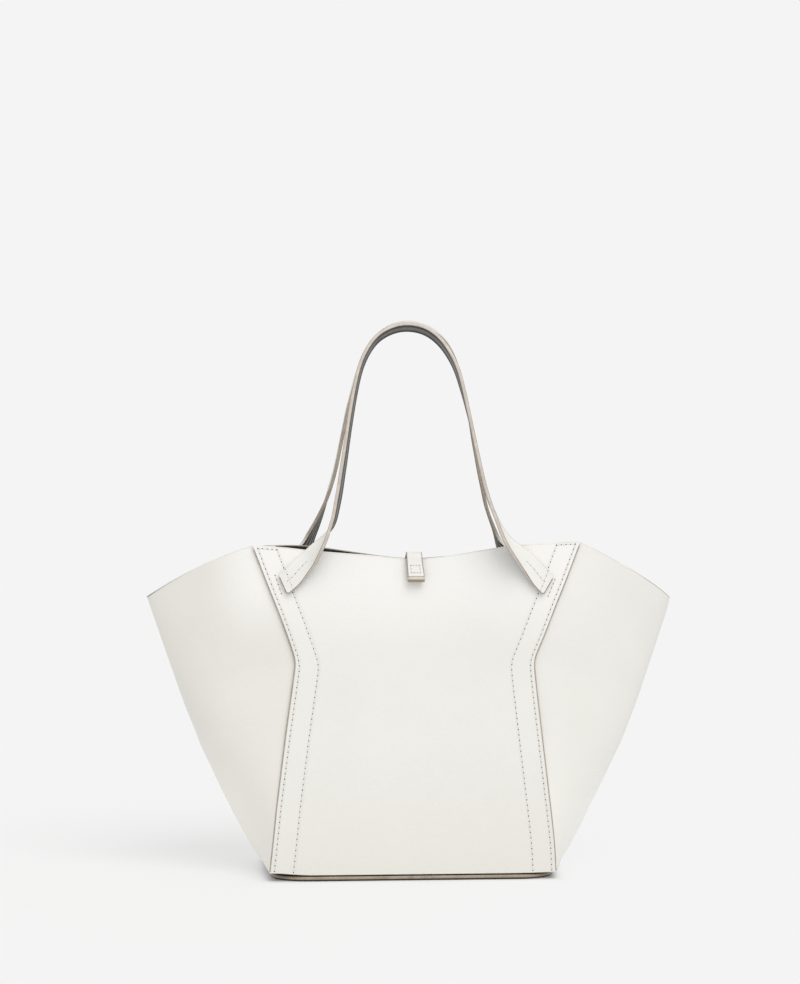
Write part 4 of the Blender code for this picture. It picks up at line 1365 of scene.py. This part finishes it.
def make_closure():
    path = closure_path()
    count = len(path)
    run = np.concatenate([[0], np.cumsum(np.linalg.norm(np.diff(path, axis=0), axis=1))])
    heading = unit(np.gradient(path, axis=0))
    out = np.stack([np.zeros(count), heading[:, 2], -heading[:, 1]], -1)
    from_tip = run[-1] - run
    tab = smooth((0.024 - from_tip) / 0.022)
    half = TAB_HALF - 0.0007 + 0.0005 * tab
    shift = 0.0006 + 0.0014 * tab
    a = np.linspace(-1, 1, 11)
    crown = 0.00025 * (1 - a**2)
    points = path[:, None] + np.zeros((1, 11, 1))
    points = points.copy()
    points[..., 0] += half[:, None] * a[None, :] + shift[:, None]
    points = points + out[:, None] * crown[None, :, None]
    normals = np.repeat(out[:, None], 11, 1)
    middle = int(np.nonzero(path[:, 1] < -0.006)[0][0])
    hinge_back, hinge_front = 0.044948, -0.055376
    back_half = ("closure_strap", 0, middle, ("bag", "closure_strap"))
    front_half = ("closure_tab", middle, count - 1, ("closure_strap", "closure_tab"))
    for (name, low, high, bodies), start, end, level, first in (
        (back_half, hinge_back + 0.004, hinge_back - 0.006, 0.29055, True),
        (front_half, hinge_front + 0.0045, hinge_front - 0.0035, 0.3018, False),
    ):
        p, o = points[low : high + 1], normals[low : high + 1]
        outer = shell(name + "_face", p + o * TAB_PLY, p + o * 0.00004, IVORY_STRAP, False)
        inner = shell(name + "_underside", p - o * 0.00004, p - o * TAB_PLY, CHARCOAL_STRAP, False)
        n, m = p.shape[:2]
        made = [(outer, "strap_leather"), (inner, "strap_lining")]
        loop = [(k, 0) for k in range(n)] + [(n - 1, c) for c in range(1, m)]
        loop += [(k, m - 1) for k in range(n - 2, -1, -1)] + [(0, c) for c in range(m - 2, 0, -1)]
        border = np.array([p[i] for i in loop])
        bead_normals = np.array([o[i] for i in loop])
        bead = half_bead(name + "_painted_edge", p, o, first)
        made.append((bead, "edge_leather"))
        stitches = Stitches()
        if first:
            for c in (1, 9):
                stitches.row(p[4:, c] + o[4:, c] * TAB_PLY, o[4:, c], pitch=0.0046)
        else:
            tip = [k for k in range(n) if 0.0065 <= from_tip[low + k]]
            for c in (1, 9):
                keep = [k for k in tip if from_tip[low + k] > 0.030]
                stitches.row([p[k, c] + o[k, c] * TAB_PLY for k in keep], [o[k, c] for k in keep], pitch=0.0046)
            # A plain box of stitches round the magnet.
            ends = sorted(int(np.abs(from_tip[low:] - height).argmin()) for height in (0.0072, 0.0142))
            box = [[(k, c) for c in range(2, 9)] for k in ends]
            box += [[(k, c) for k in range(ends[0], ends[1] + 1)] for c in (2, 8)]
            for run_of in box:
                stitches.row(
                    [p[i] + o[i] * TAB_PLY for i in run_of], [o[i] for i in run_of], pitch=0.0030, length=0.0022
                )
            made.append((end_band(p, o, from_tip[low : high + 1]), "edge_leather"))
        thread, holes = stitches.build(name + "_stitch", THREAD, HOLE_PALE)
        made += [(thread, "thread"), (holes, "edge_leather")]
        for obj, slot in made:
            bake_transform(obj)
        if first:
            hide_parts("closure_strap_outer", "closure_strap_anchor")
            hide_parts("closure_strap_inner")
        else:
            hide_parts("closure_tab_outer")
            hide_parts("closure_tab_inner")


def half_bead(name, p, o, first):
    """Painted edges along both sides and round the free end of one half of the closure strap."""
    n, m = p.shape[:2]
    if first:
        order = [(k, 0) for k in range(n - 1, -1, -1)] + [(0, c) for c in range(1, m)]
        order += [(k, m - 1) for k in range(1, n)]
    else:
        order = [(k, 0) for k in range(n)] + [(n - 1, c) for c in range(1, m)]
        order += [(k, m - 1) for k in range(n - 2, -1, -1)]
    # The bead is left open at the middle of the strap, its two ends capped.
    border = np.array([p[i] for i in order])
    normals = np.array([o[i] for i in order])
    ahead = unit(np.diff(border, axis=0))
    side = np.concatenate([ahead, ahead[-1:]])
    behind = np.concatenate([ahead[:1], ahead])
    half, proud, lap = TAB_PLY + 0.00012, 0.0007, 0.0002
    section = bead_section(half, proud, lap)
    middle = border.mean(0)
    rings = []
    sign = None
    for k in range(len(border)):
        b0, b1 = unit(np.cross(behind[k], normals[k])), unit(np.cross(side[k], normals[k]))
        if sign is None:
            sign = 1.0 if float((border[k] - middle)[0] * b1[0]) > 0 else -1.0
        steps = (0.5,) if float(b0 @ b1) > 0.88 else (0.0, 0.25, 0.5, 0.75, 1.0)
        for q in steps:
            b = unit(b0 * (1 - q) + b1 * q) * sign
            rings.append([border[k] + b * s[0] + normals[k] * s[1] for s in section])
    count = len(section)
    faces = []
    for r in range(len(rings) - 1):
        for c in range(count):
            d = (c + 1) % count
            faces.append((r * count + c, r * count + d, (r + 1) * count + d, (r + 1) * count + c))
    faces.append(tuple(range(count))[::-1])
    faces.append(tuple((len(rings) - 1) * count + c for c in range(count)))
    obj = add_mesh(name, [q for ring in rings for q in ring], faces, PAINT_STRAP, 60.0)
    repair_normals(obj)
    store(obj, "rim", np.tile([abs(q[1]) / half for q in section], len(rings)))
    return obj


def end_band(p, o, from_tip):
    """The thick painted band that finishes the tab's foot."""
    n, m = p.shape[:2]
    rings = []
    for q in np.linspace(0.0036, -0.0010, 9):
        k = int(np.abs(from_tip - max(q, 0.0)).argmin())
        heading = unit(p[-1, 5] - p[-4, 5])
        centre = p[k, 5] + heading * (from_tip[k] - q)
        u = (0.0036 - q) / 0.0046
        swell = (1 - abs(2 * u - 1) ** 5) ** 0.5
        half = np.linalg.norm(p[k, -1] - p[k, 0]) * 0.5 + 0.0006 + 0.0002 * swell
        thick = TAB_PLY + 0.0001 + 0.0006 * swell
        ring = []
        for c in range(28):
            angle = 2 * math.pi * c / 28
            ca, sa = math.cos(angle), math.sin(angle)
            x = half * math.copysign(abs(ca) ** 0.35, ca)
            d = thick * math.copysign(abs(sa) ** 0.55, sa)
            ring.append(centre + np.array([x, 0, 0]) + o[k, 5] * d)
        rings.append(ring)
    faces = []
    for r in range(len(rings) - 1):
        for c in range(28):
            d = (c + 1) % 28
            faces.append((r * 28 + c, r * 28 + d, (r + 1) * 28 + d, (r + 1) * 28 + c))
    faces.append(tuple(range(28))[::-1])
    faces.append(tuple((len(rings) - 1) * 28 + c for c in range(28)))
    obj = add_mesh("closure_tab_end_band", [q for ring in rings for q in ring], faces, PAINT_TAB, 50.0)
    repair_normals(obj)
    # Painted shade: the band darkens towards its upper and lower ends.
    store(obj, "rim", np.repeat([1.0, 0.9, 0.5, 0.2, 0.2, 0.5, 0.85, 1.0, 1.0], 28))
    return obj


# Base.
def slab(name, half, corner, profile, material):
    """A flat piece with round corners whose edge follows a profile of (inset, height) points, bottom first."""
    outline = []
    for quarter in range(4):
        sx = 1 if quarter in (0, 3) else -1
        sy = 1 if quarter in (0, 1) else -1
        for k in range(13):
            a = 0.5 * math.pi * (quarter + k / 12.0)
            outline.append((sx, sy, math.cos(a), math.sin(a)))
    points, count = [], len(outline)
    for inset, z in profile:
        r = max(corner - inset, 0.0005)
        for sx, sy, ca, sa in outline:
            points.append((sx * (half[0] - corner) + r * ca, sy * (half[1] - corner) + r * sa, z))
    faces = []
    for r in range(len(profile) - 1):
        for c in range(count):
            d = (c + 1) % count
            faces.append((r * count + c, r * count + d, (r + 1) * count + d, (r + 1) * count + c))
    faces.append(tuple(range(count))[::-1])
    faces.append(tuple((len(profile) - 1) * count + c for c in range(count)))
    return add_mesh(name, points, faces, material, 35.0)


def floor_outline():
    """Outline of the floor inside the bag, just clear of the walls and flanges, anticlockwise from above."""
    v = np.concatenate([np.linspace(FLANGE_SHARE - 1, 0, 15), np.linspace(0, 1 - FLANGE_SHARE, 15)[1:]])
    flanks = []
    for hand in (1, -1):
        wall = gusset_points(hand, v, np.full_like(v, 0.003), EDGE_PROUD)
        flanks.append(np.stack([hand * (wall[:, 0] - 0.0031), np.clip(wall[:, 1], -0.0690, 0.0690)], -1))
    back = np.array([(0.1040, 0.0690), (0.1034, 0.0718), (-0.1034, 0.0718), (-0.1040, 0.0690)])
    return np.concatenate([flanks[0], back, flanks[1][::-1], -back])


def plate(name, outline, profile, material):
    """A flat piece with the given outline whose edge follows a profile of (inset, height) points, bottom first."""
    count = len(outline)
    reach = np.abs(outline).max(0)
    points = [(*(q * (1 - inset / reach)), z) for inset, z in profile for q in outline]
    faces = []
    for r in range(len(profile) - 1):
        for c in range(count):
            d = (c + 1) % count
            faces.append((r * count + c, r * count + d, (r + 1) * count + d, (r + 1) * count + c))
    faces.append(tuple(range(count))[::-1])
    faces.append(tuple((len(profile) - 1) * count + c for c in range(count)))
    return add_mesh(name, points, faces, material, 35.0)


def make_base():
    sole = slab(
        "base_painted_sole",
        (0.1325, 0.0752),
        0.0340,
        (
            (0.0040, 0.0),
            (0.0021, 0.0001),
            (0.0014, 0.0007),
            (0.0005, 0.0012),
            (0.0001, 0.0018),
            (0.0, 0.0026),
            (0.0001, 0.0034),
            (0.0006, 0.0041),
            (0.0015, 0.0045),
            (0.0030, 0.0046),
        ),
        PAINT_SOLE,
    )
    # Painted shadow: the sole's edge turns near black at the bottom, where it stands on the floor, and at the top, in
    # the gap under the walls.
    rim = [1.0, 1.0, 1.0, 0.96, 0.78, 0.2, 0.2, 0.45, 0.9, 1.0]
    store(sole, "rim", np.repeat(rim, len(sole.data.vertices) // len(rim)))
    board = slab(
        "base_fibre_board",
        (0.1265, 0.0690),
        0.0300,
        ((0.0002, 0.0048), (0.0, 0.0050), (0.0, 0.0072), (0.0002, 0.0074)),
        BOARD,
    )
    cover = plate(
        "base_inside",
        floor_outline(),
        ((0.0004, 0.0075), (0.0, 0.0078), (0.0, 0.0084), (0.0005, 0.0088)),
        CHARCOAL,
    )
    for obj, slot_name, cad in (
        (sole, "edge_leather", "base_sole"),
        (board, "stiffener_board", "base_board"),
        (cover, "charcoal_leather", "base_lining"),
    ):
        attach(obj, "bag")
        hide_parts(cad)


# Magnets and the patch over the one in the wall keep their solids, with their own finish.
def dress(word, material):
    for obj in bpy.data.objects:
        if obj.type == "MESH" and obj.name.startswith(word):
            obj.data.materials.clear()
            obj.data.materials.append(material)


make_panel(-1, "front")
make_panel(1, "back")
make_gusset(-1, "left")
make_gusset(1, "right")
front_face = make_handle(-1, "front", FRONT_HANDLE, TURN_FRONT_LEFT, TURN_FRONT_RIGHT)
back_face = make_handle(1, "back", BACK_HANDLE, TURN_BACK_LEFT, TURN_BACK_RIGHT)
for side, word, face in ((-1, "front", front_face), (1, "back", back_face)):
    for hand, hand_word in ((-1, "left"), (1, "right")):
        make_seam(side, hand, word, hand_word, face)
        make_backing(side, hand, word, hand_word)
make_closure()
make_base()
dress("closure_magnet", STEEL)
dress("panel_magnet_cover", CHARCOAL)
for obj in bpy.data.objects:
    if obj.type == "MESH" and obj.name == "panel_magnet":
        obj.data.materials.clear()
        obj.data.materials.append(STEEL)


# Floor, light and camera.
def make_stage():
    floor = add_mesh("floor", [(-30, -30, 0), (30, -30, 0), (30, 30, 0), (-30, 30, 0)], [(0, 1, 2, 3)], floor_material(), 0)
    world = bpy.data.worlds.new("studio")
    bpy.context.scene.world = world
    world.use_nodes = True
    tree = world.node_tree
    tree.nodes.clear()
    output = tree.nodes.new("ShaderNodeOutputWorld")
    seen = tree.nodes.new("ShaderNodeBackground")
    seen.inputs["Color"].default_value = (0.905, 0.905, 0.905, 1.0)
    seen.inputs["Strength"].default_value = 1.0
    lit = tree.nodes.new("ShaderNodeBackground")
    lit.inputs["Color"].default_value = (1.0, 1.0, 1.0, 1.0)
    lit.inputs["Strength"].default_value = WORLD_LIGHT
    path = tree.nodes.new("ShaderNodeLightPath")
    chosen = tree.nodes.new("ShaderNodeMixShader")
    tree.links.new(path.outputs["Is Camera Ray"], chosen.inputs["Fac"])
    tree.links.new(lit.outputs[0], chosen.inputs[1])
    tree.links.new(seen.outputs[0], chosen.inputs[2])
    tree.links.new(chosen.outputs[0], output.inputs["Surface"])
    sun = bpy.data.lights.new("soft_key", "SUN")
    sun.energy = SUN_LIGHT
    sun.angle = math.radians(40.0)
    sun.color = (1.0, 0.995, 0.985)
    key = bpy.data.objects.new("soft_key", sun)
    bpy.context.scene.collection.objects.link(key)
    azimuth, elevation = math.radians(19.0), math.radians(48.0)
    back = Vector(
        (
            math.sin(azimuth) * math.cos(elevation),
            -math.cos(azimuth) * math.cos(elevation),
            math.sin(elevation),
        )
    )
    key.rotation_euler = back.to_track_quat("Z", "Y").to_euler()
    camera = bpy.data.cameras.new("camera")
    camera.lens = 96.28
    camera.sensor_width = 36.0
    camera.sensor_fit = "AUTO"
    camera.clip_start, camera.clip_end = 0.05, 100.0
    eye = bpy.data.objects.new("camera", camera)
    eye.location = (-0.2041, -2.4917, 0.358)
    eye.rotation_euler = (math.radians(90.0), 0.0, math.radians(-4.5))
    bpy.context.scene.collection.objects.link(eye)
    bpy.context.scene.camera = eye
    bpy.context.scene.view_settings.view_transform = "Standard"
    bpy.context.scene.view_settings.look = "None"
    bpy.context.scene.view_settings.exposure = 0.0


WORLD_LIGHT = 0.80
SUN_LIGHT = 1.10
FLOOR_GLOW = (0.48, 0.86)


def floor_material():
    found, tree, shader = new_material("pale_floor")
    where = object_space(tree)
    tone = ranged(tree, noise(tree, where, 3.0, 2.0), 0.3, 0.7, 0.0, 1.0)
    albedo = 0.905 / (WORLD_LIGHT + SUN_LIGHT * math.sin(math.radians(48.0)) / math.pi)
    tint = mix(tree, tone, (albedo, albedo, albedo), (albedo * 0.996, albedo * 0.996, albedo * 0.994))
    tree.links.new(tint, shader.inputs["Base Color"])
    shader.inputs["Roughness"].default_value = 1.0
    shader.inputs["Specular IOR Level"].default_value = 0.0
    # Painted light: the floor partly glows by itself, more on the right and less close to the base, so its shadows stay
    # faint except right at the base.
    split = tree.nodes.new("ShaderNodeSeparateXYZ")
    tree.links.new(where, split.inputs[0])
    aside = maths(tree, "SUBTRACT", maths(tree, "ABSOLUTE", split.outputs["X"]), 0.128)
    before = maths(tree, "SUBTRACT", maths(tree, "ABSOLUTE", split.outputs["Y"]), 0.074)
    away = ranged(tree, maths(tree, "MAXIMUM", aside, before), 0.0, 0.016, 0.14, 1.0, soft=True)
    away = maths(tree, "MULTIPLY", away, ranged(tree, split.outputs["X"], -0.10, 0.15, *FLOOR_GLOW, soft=True))
    glow = tree.nodes.new("ShaderNodeEmission")
    glow.inputs["Color"].default_value = (0.905, 0.905, 0.905, 1.0)
    glow.inputs["Strength"].default_value = 1.0
    both = tree.nodes.new("ShaderNodeMixShader")
    tree.links.new(away, both.inputs["Fac"])
    tree.links.new(shader.outputs[0], both.inputs[1])
    tree.links.new(glow.outputs[0], both.inputs[2])
    surface = [n for n in tree.nodes if n.type == "OUTPUT_MATERIAL"][0].inputs["Surface"]
    tree.links.new(both.outputs[0], surface)
    return found


make_stage()
